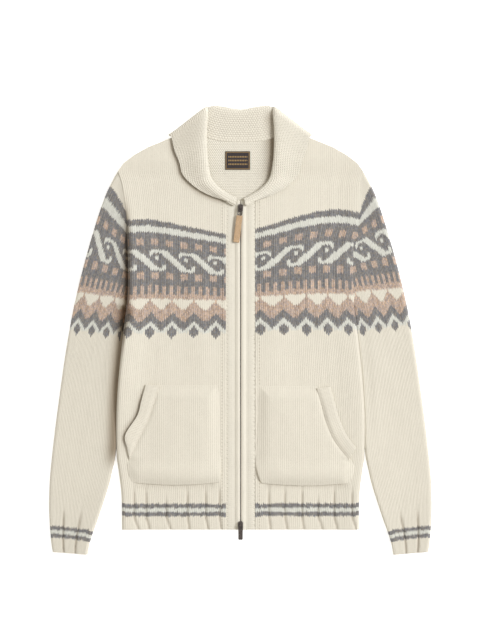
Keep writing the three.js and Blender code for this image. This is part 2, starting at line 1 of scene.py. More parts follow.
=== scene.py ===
"""Zip cardigan in chunky wool knit with a patterned band, laid flat on its back."""

import bisect
import math
from collections import namedtuple
from itertools import accumulate

import bmesh
import bpy
from bpy.props import FloatProperty, FloatVectorProperty, PointerProperty
from mathutils import Matrix, Vector, noise


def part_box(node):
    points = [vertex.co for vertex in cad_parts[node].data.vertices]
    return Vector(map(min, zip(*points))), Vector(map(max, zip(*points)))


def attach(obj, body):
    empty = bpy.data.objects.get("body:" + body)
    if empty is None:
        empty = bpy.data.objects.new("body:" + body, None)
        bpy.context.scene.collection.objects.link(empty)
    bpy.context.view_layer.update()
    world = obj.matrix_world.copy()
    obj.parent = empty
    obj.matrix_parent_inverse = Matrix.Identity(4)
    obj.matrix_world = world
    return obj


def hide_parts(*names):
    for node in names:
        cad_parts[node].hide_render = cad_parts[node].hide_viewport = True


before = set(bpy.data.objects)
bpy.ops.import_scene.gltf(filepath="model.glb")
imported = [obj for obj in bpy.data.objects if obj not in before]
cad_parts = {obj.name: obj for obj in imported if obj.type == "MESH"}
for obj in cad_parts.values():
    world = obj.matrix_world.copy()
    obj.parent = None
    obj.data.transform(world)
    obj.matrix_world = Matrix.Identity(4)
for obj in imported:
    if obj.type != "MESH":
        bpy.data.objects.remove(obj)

bl_info = {
    "name": "Zip Cardigan",
    "version": (1, 0, 0),
    "blender": (4, 5, 0),
    "location": "3D View > Sidebar > Cardigan",
    "description": "Builds a knitted zip cardigan laid flat, with its stage",
    "category": "Add Mesh",
}

# Sizes are in millimetres unless a name says otherwise. X runs across the garment from the zip and
# Y is counted from the hem; metres() moves a point into the frame. "right" and "left" are the
# wearer's, so the right front lies at -X. Half outlines are given for the left.
HEM_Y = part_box("back")[0][1]  # in metres

SIDES = ("right", "left")
WALL = 4.0
SEAM = 0.3
LAYER = WALL + SEAM
UNDERARM, SHOULDER_POINT = 390.0, 625.0
FOLD_REACH, FOLD_HEIGHT = 5.9, 11.8
TURN_UNDER = 8.0
ARMHOLE_TOP = 10.4
HEM_RIB = 78.0
CUFF_RIB = 27.0
COLLAR_RISE = 5.2
LIFT_FROM, LIFT_TO = 611.0, 649.0
NECK_CLEAR = 0.6
BAND_OUTER, BAND_TOP = 25.4, 571.2
POCKET_LIFT = 2.2

SIDE = [(-10, 207), (60, 208), (103, 213), (130, 216.5), (220, 216), (322, 207), (400, 197.5)]
ARMHOLE = [(380, 198.3), (439, 196), (543, 199), (600, 206), (626, 214)]
SHOULDER = [(625, 214), (639, 203.5), (653, 185.5), (667, 161), (679.5, 130), (684, 119),
            (693, 97), (700.5, 80)]
SLEEVE_OUTER = [(-46, 327), (-20, 331), (40, 334.5), (107, 331.5), (247, 314.5), (359, 297),
                (443, 278.5), (527, 255), (583, 236), (611, 222.5), (621, 217), (632, 209)]
SLEEVE_INNER = [(-50, 268), (-20, 262), (23, 247), (79, 229), (101, 224), (130, 218), (150, 217.3)]
HEM_GROOVES = {"right": (37, 61, 93, 130, 165, 186), "left": (49, 77, 107, 135, 163, 194)}
CUFF_GROOVES = (0.34, 0.73)  # shares of the cuff's width
CREASE = {"right": 4.8, "left": 1.6}  # depth of the sleeve's crease beside the body
SIDE_PUFF = {"right": 6.0, "left": 0.6}  # how much the body's side stands proud there
# Soft ridges of the fronts: centre x, y, half length, half width, turn from upright, height.
RIDGES = {
    "right": ((112, 470, 120, 30, 18, 1.6), (150, 300, 90, 34, -10, 1.8),
              (70, 330, 110, 26, 6, 1.3)),
    "left": ((105, 480, 130, 28, 14, 1.5), (160, 330, 100, 30, -12, 2.0),
             (62, 300, 90, 24, 4, 1.2)),
}
# Collar sections from the centre back to its front end: turn, then neck seam, roll and free edge.
COLLAR = [
    (-90, (0, 678), (0, 734), (0, 650)), (-90, (34, 679.5), (27, 738.5), (50, 655)),
    (-90, (60, 686), (43, 740), (96, 668)), (-80, (75.5, 698), (51, 738), (118.5, 685)),
    (0, (76.5, 699), (54, 734), (120, 684.5)), (80, (76, 695.5), (56, 728.5), (119.5, 682.5)),
    (90, (74, 673), (58.5, 700), (115, 661)), (90, (72.5, 648), (58.5, 670), (106.5, 640)),
    (90, (70, 624), (56.5, 642), (101, 620)), (90, (62, 602), (50, 613), (86, 603)),
    (90, (44, 585.5), (33, 594), (64, 588)), (90, (25, 575.5), (17, 584), (37, 577.5)),
    (90, (6.5, 571.6), (6, 579), (8, 574)),
]
COLLAR_REACH, COLLAR_HALF = 11.0, 3.8
# Pockets: height, inner edge, and the seam of the ribbed band or the side below it.
POCKET = {
    "right": ((82, 37, 189), (88, 35, 193), (112, 34.5, 198.5), (138, 35, 188), (160, 35.5, 178),
              (190, 36, 163), (220, 37, 152.5), (252.5, 38, 142)),
    "left": ((81, 37, 190), (88, 33, 194), (112, 26.5, 198), (134, 27, 181), (158, 29, 163),
             (190, 30, 149.5), (220, 31, 141.5), (251, 32, 133)),
}
# Ribbed bands of the pockets: their seam and their free edge, from the bottom up.
POCKET_BAND = {
    "right": (((195.5, 124), (197.5, 141)), ((179, 159), (200.5, 166)), ((163.8, 190), (180, 199)),
              ((153.2, 221), (172.5, 226)), ((143.5, 251), (165, 253.5))),
    "left": (((191, 122), (201.5, 143)), ((167, 153), (186, 163.5)), ((151.5, 187), (172, 194)),
             ((143.5, 216), (164.5, 221)), ((135, 246.5), (156.5, 250))),
}
BAND_RIBS = 13
LABEL_X, LABEL_Y, LABEL_WIDTH, LABEL_DEPTH, LABEL_WALL = -5.0, 644.0, 43.5, 32.0, 0.8

# Knit gauge: stitches across a front, height of a course, and how far a stitch's legs climb.
FRONT_WALES = 54
COURSE = 2.78
PLAIN_COURSES = 8  # plain courses of a front above its band, before they even out to its top edge
FRONT_TOP = 200  # course where they end
LEGS = 1.2
FIRST_COUNT = 100  # stitch count at the fronts' band seam
LADDER_COUNT = 102  # line of open holes beside the zip bands
BAND_FOOT = {"right": 332.0, "left": 337.0}
BAND_HEAD = {
    "right": [(25, 514), (86, 526), (157, 539.5), (197, 538.5)],
    "left": [(27, 524), (64, 534), (99, 545), (150, 556), (182, 556.5), (208, 551)],
}
BAND_FROM, BAND_TO = 120, 192  # courses between which the patterned band lies
BAND_PULL = ((25, 0.2), (180, 0.04))  # how much taller its low courses are, by x
FRONT_BOW = {"right": 0.0, "left": 0.12}  # stitches are this much wider towards the zip
# Sleeve courses: count, then height at the outer fold and at the armhole or inner fold.
SLEEVE_COURSES = [(-11.5, -39, -44), (11.5, 27, 16), (46.5, 130, 118), (124.5, 357, 345),
                  (145.5, 426, 411), (166, 500, 468), (186, 571, 522), (190, 590.5, 544),
                  (192, 600, 556), (200, 617, 604), (206, 625, 623.5)]
SLEEVE_GAUGE = {
    "right": [(-44, 2.1), (27, 2.4), (130, 2.75), (247, 2.5), (340, 2.15), (420, 2.25), (620, 2.4)],
    "left": [(-44, 2.1), (27, 2.4), (130, 2.75), (247, 2.6), (357, 2.36), (620, 2.4)],
}
SLEEVE_SHIFT = {"right": -4.0, "left": 4.0}  # how much higher the foot of a sleeve's band lies
# How much higher its courses meet the front, by course.
SLEEVE_TURN = {
    "right": [(0, 0), (200, 0)],
    "left": [(125, 0), (145.5, 6), (166, 9), (186, 12.3), (190, 1.5), (192, -5), (200, 0)],
}
SLEEVE_TUCK = 1.6  # how far a sleeve slips under the body's side fold
SLEEVE_FOLD, SLEEVE_TURN_IN = 5.6, 4.8  # how far its rounded outer and inner folds reach
SLEEVE_END = SLEEVE_COURSES[-1][0]

# Chart of the patterned band from its top down: c cream, w white, g grey, r rose.
YARNS = "cwgr"
SCROLL = ("gwwwwwwwwwgggggg", "wwwwwwwwwwwggggg", "wwgggggwwwwwgggg", "wgggggggwwwwwggg",
          "gggwwggggwwwwwgg", "gggwwgggggwwwwwg", "gggggggggggwwwww", "wgggggggggggwwww",
          "wwgggggggggggwww", "wwwggggwwgggggww", "wwwwgggwwggggggw", "wwwwwwwwwggggggg",
          "gwwwwwwwgggggggg")
# Half of each diamond row, from the diamond's middle outwards.
DIAMOND = ("rcccccc", "rcccccc", "rrccccc", "rrrcccc", "rrrrccc", "rrrrrcc", "rrrrrrr",
           "rrrrrrr", "grrrrrr", "ggrrrrr", "gggrrrr", "ggggrrr", "gggggrr", "wgggggg", "wwggggg",
           "wwwgggg", "gwwwggg", "ggwwwgg", "gggwwwg", "gggcwww", "gggcccc", "ggccccc", "gcccccc")
BAND_ROWS = (["g"] * 4 + ["w"] * 4 + ["g"] * 4 + ["dice"] * 4 + ["g"] * 3
             + [("scroll", k) for k in range(13)] + ["g"] + ["dice"] * 4 + ["g"] * 4
             + ["teeth"] * 5 + ["r"] * 3 + [("diamond", k) for k in range(23)])
# Where each repeat starts, counted in stitches: dice, scroll, diamond.
CHART_SHIFT = {
    "right": (5, 9, 5), "left": (4, 7, 2), "back": (4, 8, 2),
    "sleeve_right": (4, 8, 3), "sleeve_left": (4, 7, 9),
}


# ---- small mathematics ----
def clamp01(v):
    return min(max(v, 0.0), 1.0)


def ease(v):
    v = clamp01(v)
    return v * v * (3 - 2 * v)


def fade(v, start, end):
    """Goes smoothly from 0 where v is start to 1 where it is end."""
    return ease((v - start) / (end - start))


def bell(distance, width):
    return math.exp(-(distance / width) ** 2)


def mix(a, b, t):
    return a + (b - a) * t


def dome(t):
    return math.sqrt(max(math.sin(math.pi * clamp01(t)), 0.0))


def steps(low, high, count):
    return [mix(low, high, i / count) for i in range(count + 1)]


def curve(points):
    """Smooth curve through (key, value) points, level with its neighbours at each."""
    rows = sorted(points)
    keys = [k for k, _ in rows]
    values = [v for _, v in rows]
    last = len(rows) - 1
    slopes = []
    for i in range(len(rows)):
        low, high = max(i - 1, 0), min(i + 1, last)
        slopes.append((values[high] - values[low]) / (keys[high] - keys[low]))

    def at(key):
        i = min(max(bisect.bisect_right(keys, key) - 1, 0), last - 1)
        span = keys[i + 1] - keys[i]
        t = clamp01((key - keys[i]) / span)
        t2, t3 = t * t, t * t * t
        return ((2 * t3 - 3 * t2 + 1) * values[i] + (t3 - 2 * t2 + t) * span * slopes[i]
                + (3 * t2 - 2 * t3) * values[i + 1] + (t3 - t2) * span * slopes[i + 1])
    return at


def chain_line(points):
    """Straight pieces between (key, value) points."""
    rows = sorted(points)
    keys = [k for k, _ in rows]

    def at(key):
        i = min(max(bisect.bisect_right(keys, key) - 1, 0), len(rows) - 2)
        (k0, v0), (k1, v1) = rows[i], rows[i + 1]
        return mix(v0, v1, clamp01((key - k0) / (k1 - k0)))
    return at


def scatter(i, j):
    """Fixed random-looking value from 0 to 1 for a pair of counts."""
    value = math.sin(i * 12.9898 + j * 78.233) * 43758.5453
    return value - math.floor(value)


def stitch_jitter(i, j):
    """How far a stitch sits off its course, in courses, by half stitch and row."""
    return 0.9 * (scatter(i // 2, j // 2) - 0.5) + 0.5 * (scatter(i, j) - 0.5)


def run_lengths(points):
    """Distance along a row of points to each of them."""
    return list(accumulate(((b - a).length for a, b in zip(points, points[1:])), initial=0.0))


def soft_noise(x, y, size, seed=0.0):
    return noise.noise(Vector((x / size, y / size, seed)))


def metres(x, y, z):
    return Vector((x / 1000, y / 1000 + HEM_Y, z / 1000))


def linear(red, green, blue):
    """Screen colour, 0 to 255, as linear light."""
    def one(value):
        value /= 255
        return value / 12.92 if value <= 0.04045 else ((value + 0.055) / 1.055) ** 2.4
    return one(red), one(green), one(blue)


# ---- outlines and layers, as the frame has them ----
side_at = curve(SIDE)
armhole_at = curve(ARMHOLE)
sleeve_outer_at = curve(SLEEVE_OUTER)
sleeve_low_inner = curve(SLEEVE_INNER)
band_head = {side: curve(rows) for side, rows in BAND_HEAD.items()}

collar_turn = curve([(i, row[0]) for i, row in enumerate(COLLAR)])
collar_line = {
    (name, axis): curve([(-1, (-1, 1)[a] * COLLAR[1][1 + n][a])]
                        + [(i, row[1 + n][a]) for i, row in enumerate(COLLAR)])
    for n, name in enumerate(("seam", "roll", "edge")) for a, axis in enumerate("xy")
}
HIGH_NECK = 4.3  # section where the neck seam turns from the back to the fronts
SEAM_STEPS = 120
_seam = [(collar_line["seam", "x"](t), collar_line["seam", "y"](t))
         for t in steps(0, len(COLLAR) - 1, SEAM_STEPS)]
_turned = round(HIGH_NECK / (len(COLLAR) - 1) * SEAM_STEPS)
BACK_NECK, FRONT_NECK = _seam[:_turned], _seam[_turned:]
_shoulder_points = [(x, y) for y, x in SHOULDER]
front_top_edge = chain_line([(x + 0.7, y) for x, y in FRONT_NECK if x > 20] + _shoulder_points)
back_top_edge = chain_line([(x, y - 0.7) for x, y in BACK_NECK[::4]] + _shoulder_points)


def lift(y):
    return COLLAR_RISE * fade(y, LIFT_FROM, LIFT_TO)


def slack_over(y):
    return NECK_CLEAR * fade(y, 580, 600)


def seam_at(side, y):
    """Line of an armhole seam above the underarm. The left one swings out below the shoulder."""
    swing = 8.0 * fade(y, 498, 540) * fade(y, 622, 542) if side == "left" else 0.0
    return armhole_at(min(y, SHOULDER_POINT)) + swing


def front_edge(side, y):
    """Where a front's flat part ends: at the side fold, and above the underarm at the armhole."""
    closing = fade(y, UNDERARM - 9, UNDERARM)
    return mix(side_at(y) - FOLD_REACH, seam_at(side, y) + SEAM, closing)


def front_top(side, x, y):
    """Height of a front's outer face."""
    edge = front_edge(side, y)
    rise = mix(FOLD_HEIGHT, ARMHOLE_TOP, fade(y, UNDERARM - 40, UNDERARM + 20)) - LAYER - WALL
    bulge = rise * fade(edge - x, 42, 0) * fade(y, 668, 608)
    bulge += SIDE_PUFF[side] * fade(edge - x, 60, 0) * fade(y, 150, 280) * fade(y, 580, 490)
    calm = (fade(x, 28, 48) * fade(edge - x, 0, 30) * fade(y, HEM_RIB, HEM_RIB + 30)
            * fade(y, 600, 540))
    ridge = 0.0
    if calm > 0:
        for centre_x, centre_y, long, wide, turn, high in RIDGES[side]:
            c, s = math.cos(math.radians(turn)), math.sin(math.radians(turn))
            along = (y - centre_y) * c + (x - centre_x) * s
            off = (x - centre_x) * c - (y - centre_y) * s
            ridge += high * bell(along, long) * bell(off, wide)
        seed = 3.7 if side == "right" else 9.1
        ridge += 0.7 * soft_noise(x, y, 46, seed) + 0.35 * soft_noise(x, y, 19, seed + 2)
    return LAYER + WALL + lift(y) + slack_over(y) + bulge + ridge * calm


# ---- knitting chart ----
def band_yarn(piece, wale, row):
    """Yarn of one stitch in the patterned band, counted from its top."""
    kind = BAND_ROWS[row]
    dice, scroll, diamond = CHART_SHIFT[piece]
    turned = -1 if piece == "sleeve_right" else 1
    if kind == "dice":
        return "r" if (wale - dice) % 8 < 4 else "g"
    if kind == "teeth":
        return "r" if wale % 4 in (1, 2) else "g"
    if kind[0] == "scroll":
        repeat = 17 if piece == "left" else 16
        return SCROLL[kind[1]][min((scroll - turned * wale) % repeat, 15)]
    if kind[0] == "diamond":
        return DIAMOND[kind[1]][abs((wale - diamond + 6) % 12 - 6)]
    return kind


def yarn_of(piece, wale, course, stripes):
    if BAND_FROM <= course < BAND_TO:
        return YARNS.index(band_yarn(piece, wale, int(BAND_TO - course)))
    for low, high, yarn in stripes:
        if low <= course < high:
            return YARNS.index(yarn)
    return 0


HEM_STRIPES = ((7.8, 10.5, "g"), (10.5, 12.9, "w"), (12.9, 15.6, "g"))
HEM_ROWS = [0, 1, 2.5, 4.5, 6.2, 7.8, 9.2, 10.5, 11.3, 12.1, 12.9, 14.3, 15.6, 16.8]
CUFF_STRIPES = ((-2.8, -0.4, "g"), (-0.4, 1.9, "w"), (1.9, 4.3, "g"))


# ---- making cloth ----
def finish_mesh(bm, name, material, body="garment"):
    mesh = bpy.data.meshes.new(name)
    bm.to_mesh(mesh)
    bm.free()
    mesh.polygons.foreach_set("use_smooth", [True] * len(mesh.polygons))
    for one in material if isinstance(material, (list, tuple)) else (material,):
        mesh.materials.append(one)
    obj = bpy.data.objects.new(name, mesh)
    bpy.context.scene.collection.objects.link(obj)
    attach(obj, body)
    return obj


def cloth_grid(cols, rows, place, stitch, yarn=None, keep=None, mirror=False, fold=None):
    """Grid of cloth. place and stitch give a point and its (stitch, course) for column and row,
    fold how much painted shade darkens its wool, from 0 to 1: shade of creases, grooves and cast
    shadows painted into the colour."""
    bm = bmesh.new()
    bmesh.ops.create_grid(bm, x_segments=cols - 1, y_segments=rows - 1, size=1)
    uv = bm.loops.layers.uv.new("stitch")
    tone = bm.faces.layers.float.new("yarn")
    # Painted shade: how much each point's wool colour is darkened, kept as the fold attribute.
    depth = bm.verts.layers.float.new("fold")
    spots = {
        v: (round((v.co.x + 1) / 2 * (cols - 1)), round((v.co.y + 1) / 2 * (rows - 1)))
        for v in bm.verts
    }
    stitches = {}
    outside = []
    for face in bm.faces:
        i = min(spots[v][0] for v in face.verts)
        j = min(spots[v][1] for v in face.verts)
        if keep and not keep(i, j):
            outside.append(face)
            continue
        if yarn:
            face[tone] = yarn(i, j)
        for loop in face.loops:
            spot = spots[loop.vert]
            if spot not in stitches:
                stitches[spot] = stitch(*spot)
            loop[uv].uv = stitches[spot]
    for v, spot in spots.items():
        if fold:
            v[depth] = clamp01(fold(*spot))
        v.co = place(*spot)
        if mirror:
            v.co.x = -v.co.x
    bmesh.ops.delete(bm, geom=outside, context="FACES")
    bmesh.ops.remove_doubles(bm, verts=bm.verts, dist=2e-5)
    if mirror:
        bmesh.ops.reverse_faces(bm, faces=bm.faces)
    return bm


def thicken(obj, thickness=WALL, offset=-1.0, rim=1.1, inside_material=0):
    wall = obj.modifiers.new("Wall", "SOLIDIFY")
    wall.thickness = thickness / 1000
    wall.offset = offset
    wall.use_even_offset = False
    wall.material_offset = inside_material
    soft = obj.modifiers.new("Soft rim", "BEVEL")
    soft.width = rim / 1000
    soft.segments = 2
    soft.limit_method = "ANGLE"
    soft.angle_limit = math.radians(50)
    soft.use_clamp_overlap = True
    soft.material = -1


def walled_mesh(bm, name, material, body="garment", **wall):
    obj = finish_mesh(bm, name, material, body)
    thicken(obj, **wall)
    return obj


# ---- node materials ----
class Nodes:
    """Adds nodes to a material and joins them."""

    def __init__(self, name):
        old = bpy.data.materials.get(name)
        if old:
            bpy.data.materials.remove(old)
        self.material = bpy.data.materials.new(name)
        self.material.use_nodes = True
        self.tree = self.material.node_tree
        self.shader = self.tree.nodes["Principled BSDF"]

    def add(self, kind, inputs=(), **settings):
        node = self.tree.nodes.new(kind)
        for key, value in settings.items():
            setattr(node, key, value)
        for key, value in dict(inputs).items():
            self.put(node.inputs[key], value)
        return node

    def put(self, socket, value):
        if isinstance(value, bpy.types.NodeSocket):
            self.tree.links.new(value, socket)
        else:
            socket.default_value = value

    def math(self, operation, a, b=0.0, c=0.0):
        return self.add("ShaderNodeMath", {0: a, 1: b, 2: c}, operation=operation).outputs[0]

    def mul(self, a, b):
        return self.math("MULTIPLY", a, b)

    def muladd(self, a, b, c):
        return self.math("MULTIPLY_ADD", a, b, c)

    def fract(self, a):
        return self.math("FRACT", a)

    def hump(self, a):
        """Rises from 0 to 1 and falls back while a goes from 0 to 1."""
        return self.math("SINE", self.mul(a, math.pi))

    def off_middle(self, a):
        return self.math("ABSOLUTE", self.math("SUBTRACT", a, 0.5))

    def blend(self, factor, a, b, mode="MIX"):
        node = self.add("ShaderNodeMix", data_type="RGBA", blend_type=mode)
        self.put(node.inputs["Factor"], factor)
        for socket, value in zip([s for s in node.inputs if s.type == "RGBA"], (a, b)):
            self.put(socket, value if isinstance(value, bpy.types.NodeSocket) else (*value, 1))
        return [s for s in node.outputs if s.type == "RGBA"][0]

    def tint(self, factor, colour, by):
        """Multiplies a colour by another, as far as factor says."""
        return self.blend(factor, colour, self.blend(1.0, colour, by, "MULTIPLY"))

    def ramp(self, factor, stops, interpolation="LINEAR"):
        node = self.add("ShaderNodeValToRGB", {0: factor})
        node.color_ramp.interpolation = interpolation
        elements = node.color_ramp.elements
        while len(elements) < len(stops):
            elements.new(0.5)
        for element, (position, colour) in zip(elements, stops):
            element.position = position
            element.color = (*colour, 1)
        return node.outputs["Color"]

    def mottle(self, amount, colour, low, high):
        """Colour scaled from low to high while amount goes from the low to the high stop."""
        return self.ramp(amount, [(at, tuple(min(c * scale, 1) for c in colour))
                                  for at, scale in (low, high)])

    def noise(self, vector, scale, detail=2.0, roughness=0.5):
        return self.add("ShaderNodeTexNoise", {
            "Vector": vector, "Scale": scale, "Detail": detail, "Roughness": roughness},
        ).outputs["Fac"]

    def white_noise(self, socket, value, dimensions):
        return self.add("ShaderNodeTexWhiteNoise", {socket: value},
                        noise_dimensions=dimensions).outputs["Value"]

    def attribute(self, name):
        return self.add("ShaderNodeAttribute", attribute_name=name).outputs["Fac"]

    def object_place(self):
        return self.add("ShaderNodeTexCoord").outputs["Object"]

    def stitch_map(self):
        """Stitch and course count of the cloth."""
        stitch = self.add("ShaderNodeUVMap", uv_map="stitch").outputs[0]
        return self.add("ShaderNodeSeparateXYZ", {0: stitch}).outputs[:2]

    def surface(self, colour, **settings):
        for key, value in {"Base_Color": colour, **settings}.items():
            self.put(self.shader.inputs[key.replace("_", " ")], value)

    def bump(self, height, strength, distance):
        node = self.add("ShaderNodeBump", {
            "Height": height, "Strength": strength, "Distance": distance})
        self.put(self.shader.inputs["Normal"], node.outputs[0])


def knit_height(n, kind, u, v):
    """Height of the yarn, from 0 in the gaps to 1 on top."""
    if kind == "face":
        across = n.fract(u)
        row = n.fract(n.math("SUBTRACT", v, n.mul(n.off_middle(across), 2 * LEGS)))
        leg = n.math("POWER", n.hump(n.fract(n.mul(u, 2.0))), 0.5)
        strand = n.mul(leg, n.muladd(n.math("POWER", n.hump(row), 0.6), 0.7, 0.3))
        return n.mul(n.muladd(strand, 0.6, 0.4), n.muladd(n.hump(across), 0.75, 0.25))
    if kind == "purl":
        brick = n.math("ADD", u, n.mul(n.math("FLOOR", v), 0.5))
        row = n.math("POWER", n.hump(n.fract(v)), 0.7)
        return n.mul(row, n.muladd(n.hump(n.fract(brick)), 0.7, 0.3))
    row = n.math("POWER", n.hump(n.fract(v)), 0.6)
    return n.mul(row, n.muladd(n.hump(n.fract(u)), 0.35, 0.65))


def knit_material(name, wool, kind, depth):
    """Wool knit from the stitch map. kind is "face" for V stitches, "purl" for rows of bumps or
    "rib" for close ridges across the piece."""
    n = Nodes(name)
    place = n.object_place()
    u, v = n.stitch_map()
    wander = n.math("SUBTRACT", n.noise(place, 260.0, 1.0), 0.5)
    v = n.math("ADD", v, n.mul(wander, 0.35))
    height = knit_height(n, kind, u, v)

    tone = n.attribute("yarn")
    colours = (wool.cream, wool.white, wool.grey, wool.rose)
    colour = n.ramp(n.muladd(tone, 0.25, 0.125),
                    [(k * 0.25, tuple(c)) for k, c in enumerate(colours)], "CONSTANT")
    dyed = n.math("GREATER_THAN", tone, 1.5)
    pale = n.math("COMPARE", tone, 1.0, 0.5)

    # Each stitch and each half wale takes the light a little differently.
    count = n.add("ShaderNodeCombineXYZ", {0: n.math("FLOOR", u), 1: n.math("FLOOR", v)}).outputs[0]
    each = n.white_noise("Vector", count, "2D")
    streak = n.white_noise("W", n.math("FLOOR", n.mul(u, 2.0)), "1D")
    spread = n.muladd(pale, 0.2, n.muladd(dyed, 0.6, 0.08))
    uneven = n.mul(n.mul(n.math("ADD", each, streak), 0.6), spread)
    colour = n.tint(uneven, colour, (0.42, 0.4, 0.38))
    heather = n.ramp(n.noise(place, 380.0, 3.0, 0.75), [
        (0.36, (0.74, 0.8, 0.96)), (0.5, (1.0, 1.0, 1.0)), (0.64, (1.3, 1.14, 0.9))])
    colour = n.tint(n.mul(dyed, 0.8), colour, heather)

    # Painted shade: the gaps between the yarns, the line of open holes and deep folds are darkened,
    # as shade would darken them.
    gap_shade = 0.24 if kind == "face" else 0.03
    shade = n.mul(n.math("SUBTRACT", 1.0, height), n.muladd(dyed, 0.7, gap_shade))
    if kind == "face":
        on_line = n.math("COMPARE", u, LADDER_COUNT, 0.35)
        between = n.math("LESS_THAN", n.fract(n.mul(v, 0.5)), 0.5)
        shade = n.math("ADD", shade, n.mul(n.mul(on_line, between), 0.25))
    colour = n.tint(shade, colour, (0.44, 0.39, 0.32))
    # Painted shade and cast shadow from the fold attribute, tinted towards brown.
    colour = n.tint(n.attribute("fold"), colour, (0.24, 0.17, 0.1))
    n.surface(colour, Roughness=0.92, Specular_IOR_Level=0.2, Sheen_Weight=0.25,
              Sheen_Roughness=0.6)
    n.bump(n.muladd(n.noise(place, 1500.0, 2.0, 0.8), 0.3, height), 0.85, depth / 1000)
    return n.material


def metal_material(name, colour):
    n = Nodes(name)
    place = n.object_place()
    worn = n.noise(place, 420.0, 4.0, 0.6)
    n.surface(n.mottle(worn, colour, (0.3, 0.7), (0.7, 1.3)), Metallic=1.0,
              Roughness=n.muladd(worn, 0.3, 0.22))
    n.bump(n.noise(place, 1800.0, 2.0), 0.25, 0.0002)
    return n.material


def leather_material(name, colour):
    n = Nodes(name)
    place = n.object_place()
    cells = n.add("ShaderNodeTexVoronoi", {"Vector": place, "Scale": 1400.0},
                  feature="DISTANCE_TO_EDGE").outputs["Distance"]
    grain = n.math("MINIMUM", n.mul(cells, 4.0), 1.0)
    worn = n.mottle(n.noise(place, 130.0, 4.0, 0.6), colour, (0.25, 0.8), (0.75, 1.12))
    pores = n.tint(n.math("SUBTRACT", 1.0, grain), worn, (0.72, 0.6, 0.48))
    n.surface(pores, Roughness=0.55)
    n.bump(grain, 0.5, 0.0003)
    return n.material


def woven_material(name, ground, thread):
    """Close woven cloth, with a border and plain bars in a second thread."""
    n = Nodes(name)
    u, v = n.stitch_map()
    edges = [n.mul(n.math("SUBTRACT", 0.5, n.off_middle(at)), size)
             for at, size in ((u, LABEL_WIDTH), (v, LABEL_DEPTH))]
    edge = n.math("MINIMUM", *edges)
    border = n.math("COMPARE", edge, 1.6, 0.8)
    bar = n.math("COMPARE", n.fract(n.mul(v, 5.0)), 0.5, 0.2)
    inside = n.math("GREATER_THAN", edge, 5.0)
    broken = n.math("GREATER_THAN", n.math("SINE", n.mul(u, 95.0)), -0.35)
    marks = n.mul(n.mul(bar, inside), broken)
    figure = n.math("MAXIMUM", n.mul(border, 0.45), n.mul(marks, 0.75))
    warp, weft = n.math("SINE", n.mul(u, 380.0)), n.math("SINE", n.mul(v, 300.0))
    weave = n.muladd(n.mul(warp, weft), 0.5, 0.5)
    colour = n.tint(n.mul(weave, 0.35), n.blend(figure, ground, thread), (0.5, 0.5, 0.5))
    n.surface(colour, Roughness=0.75, Sheen_Weight=0.2)
    n.bump(n.math("ADD", weave, figure), 0.5, 0.0003)
    return n.material


def floor_material(name, colour, glow):
    n = Nodes(name)
    n.surface(n.mottle(n.noise(n.object_place(), 3.0), colour, (0.3, 0.99), (0.7, 1.0)),
              Roughness=0.9, Specular_IOR_Level=0.1, Emission_Color=(1, 1, 1, 1),
              Emission_Strength=glow)
    return n.material


def wool_material(kind):
    name, depth = {"face": ("Wool knit face", 0.9), "purl": ("Wool purl side", 1.25),
                   "rib": ("Wool close rib", 0.8)}[kind]
    return bpy.data.materials.get(name) or knit_material(
        name, bpy.context.scene.cardigan_wool, kind, depth)


# ---- user settings ----
def colour_setting(name, description, red, green, blue):
    return FloatVectorProperty(
        name=name, description=description, subtype="COLOR", size=3, min=0, max=1,
        default=linear(red, green, blue))


class WoolSettings(bpy.types.PropertyGroup):
    """Yarns of the cardigan."""

    cream: colour_setting("Cream", "Main yarn", 229, 224, 210)
    white: colour_setting("White", "Pale yarn of the band and stripes", 224, 225, 217)
    grey: colour_setting("Grey", "Grey yarn of the band and stripes", 156, 157, 160)
    rose: colour_setting("Rose", "Rose yarn of the band", 227, 207, 194)


class TrimSettings(bpy.types.PropertyGroup):
    """Zip, pull and label."""

    metal: colour_setting("Metal", "Sliders, teeth and pulls", 104, 98, 96)
    leather: colour_setting("Leather", "Pull tab", 196, 170, 138)
    label_ground: colour_setting("Label ground", "Ground of the neck label", 44, 35, 38)
    label_thread: colour_setting("Label thread", "Border and bars of the neck label", 182, 148, 92)
    tooth_pitch: FloatProperty(
        name="Tooth pitch", description="Distance between zip teeth on one side", default=0.0025,
        unit="LENGTH", min=0.001)
    tab_width: FloatProperty(
        name="Tab width", description="Width of the leather tab", default=0.0108, unit="LENGTH")
    tab_length: FloatProperty(
        name="Tab length", description="Length of the leather tab", default=0.047, unit="LENGTH")


class StageSettings(bpy.types.PropertyGroup):
    """Camera, light and floor."""

    camera_height: FloatProperty(
        name="Camera height", description="Camera above the floor", default=3.0, unit="LENGTH")
    view_height: FloatProperty(
        name="View height", description="Length of floor seen from top to bottom", default=1.12,
        unit="LENGTH")
    key_power: FloatProperty(
        name="Key light", description="Power of the large soft light", default=305.0, unit="POWER")
    fill: FloatProperty(
        name="Fill light", description="Strength of the surrounding light", default=0.65)


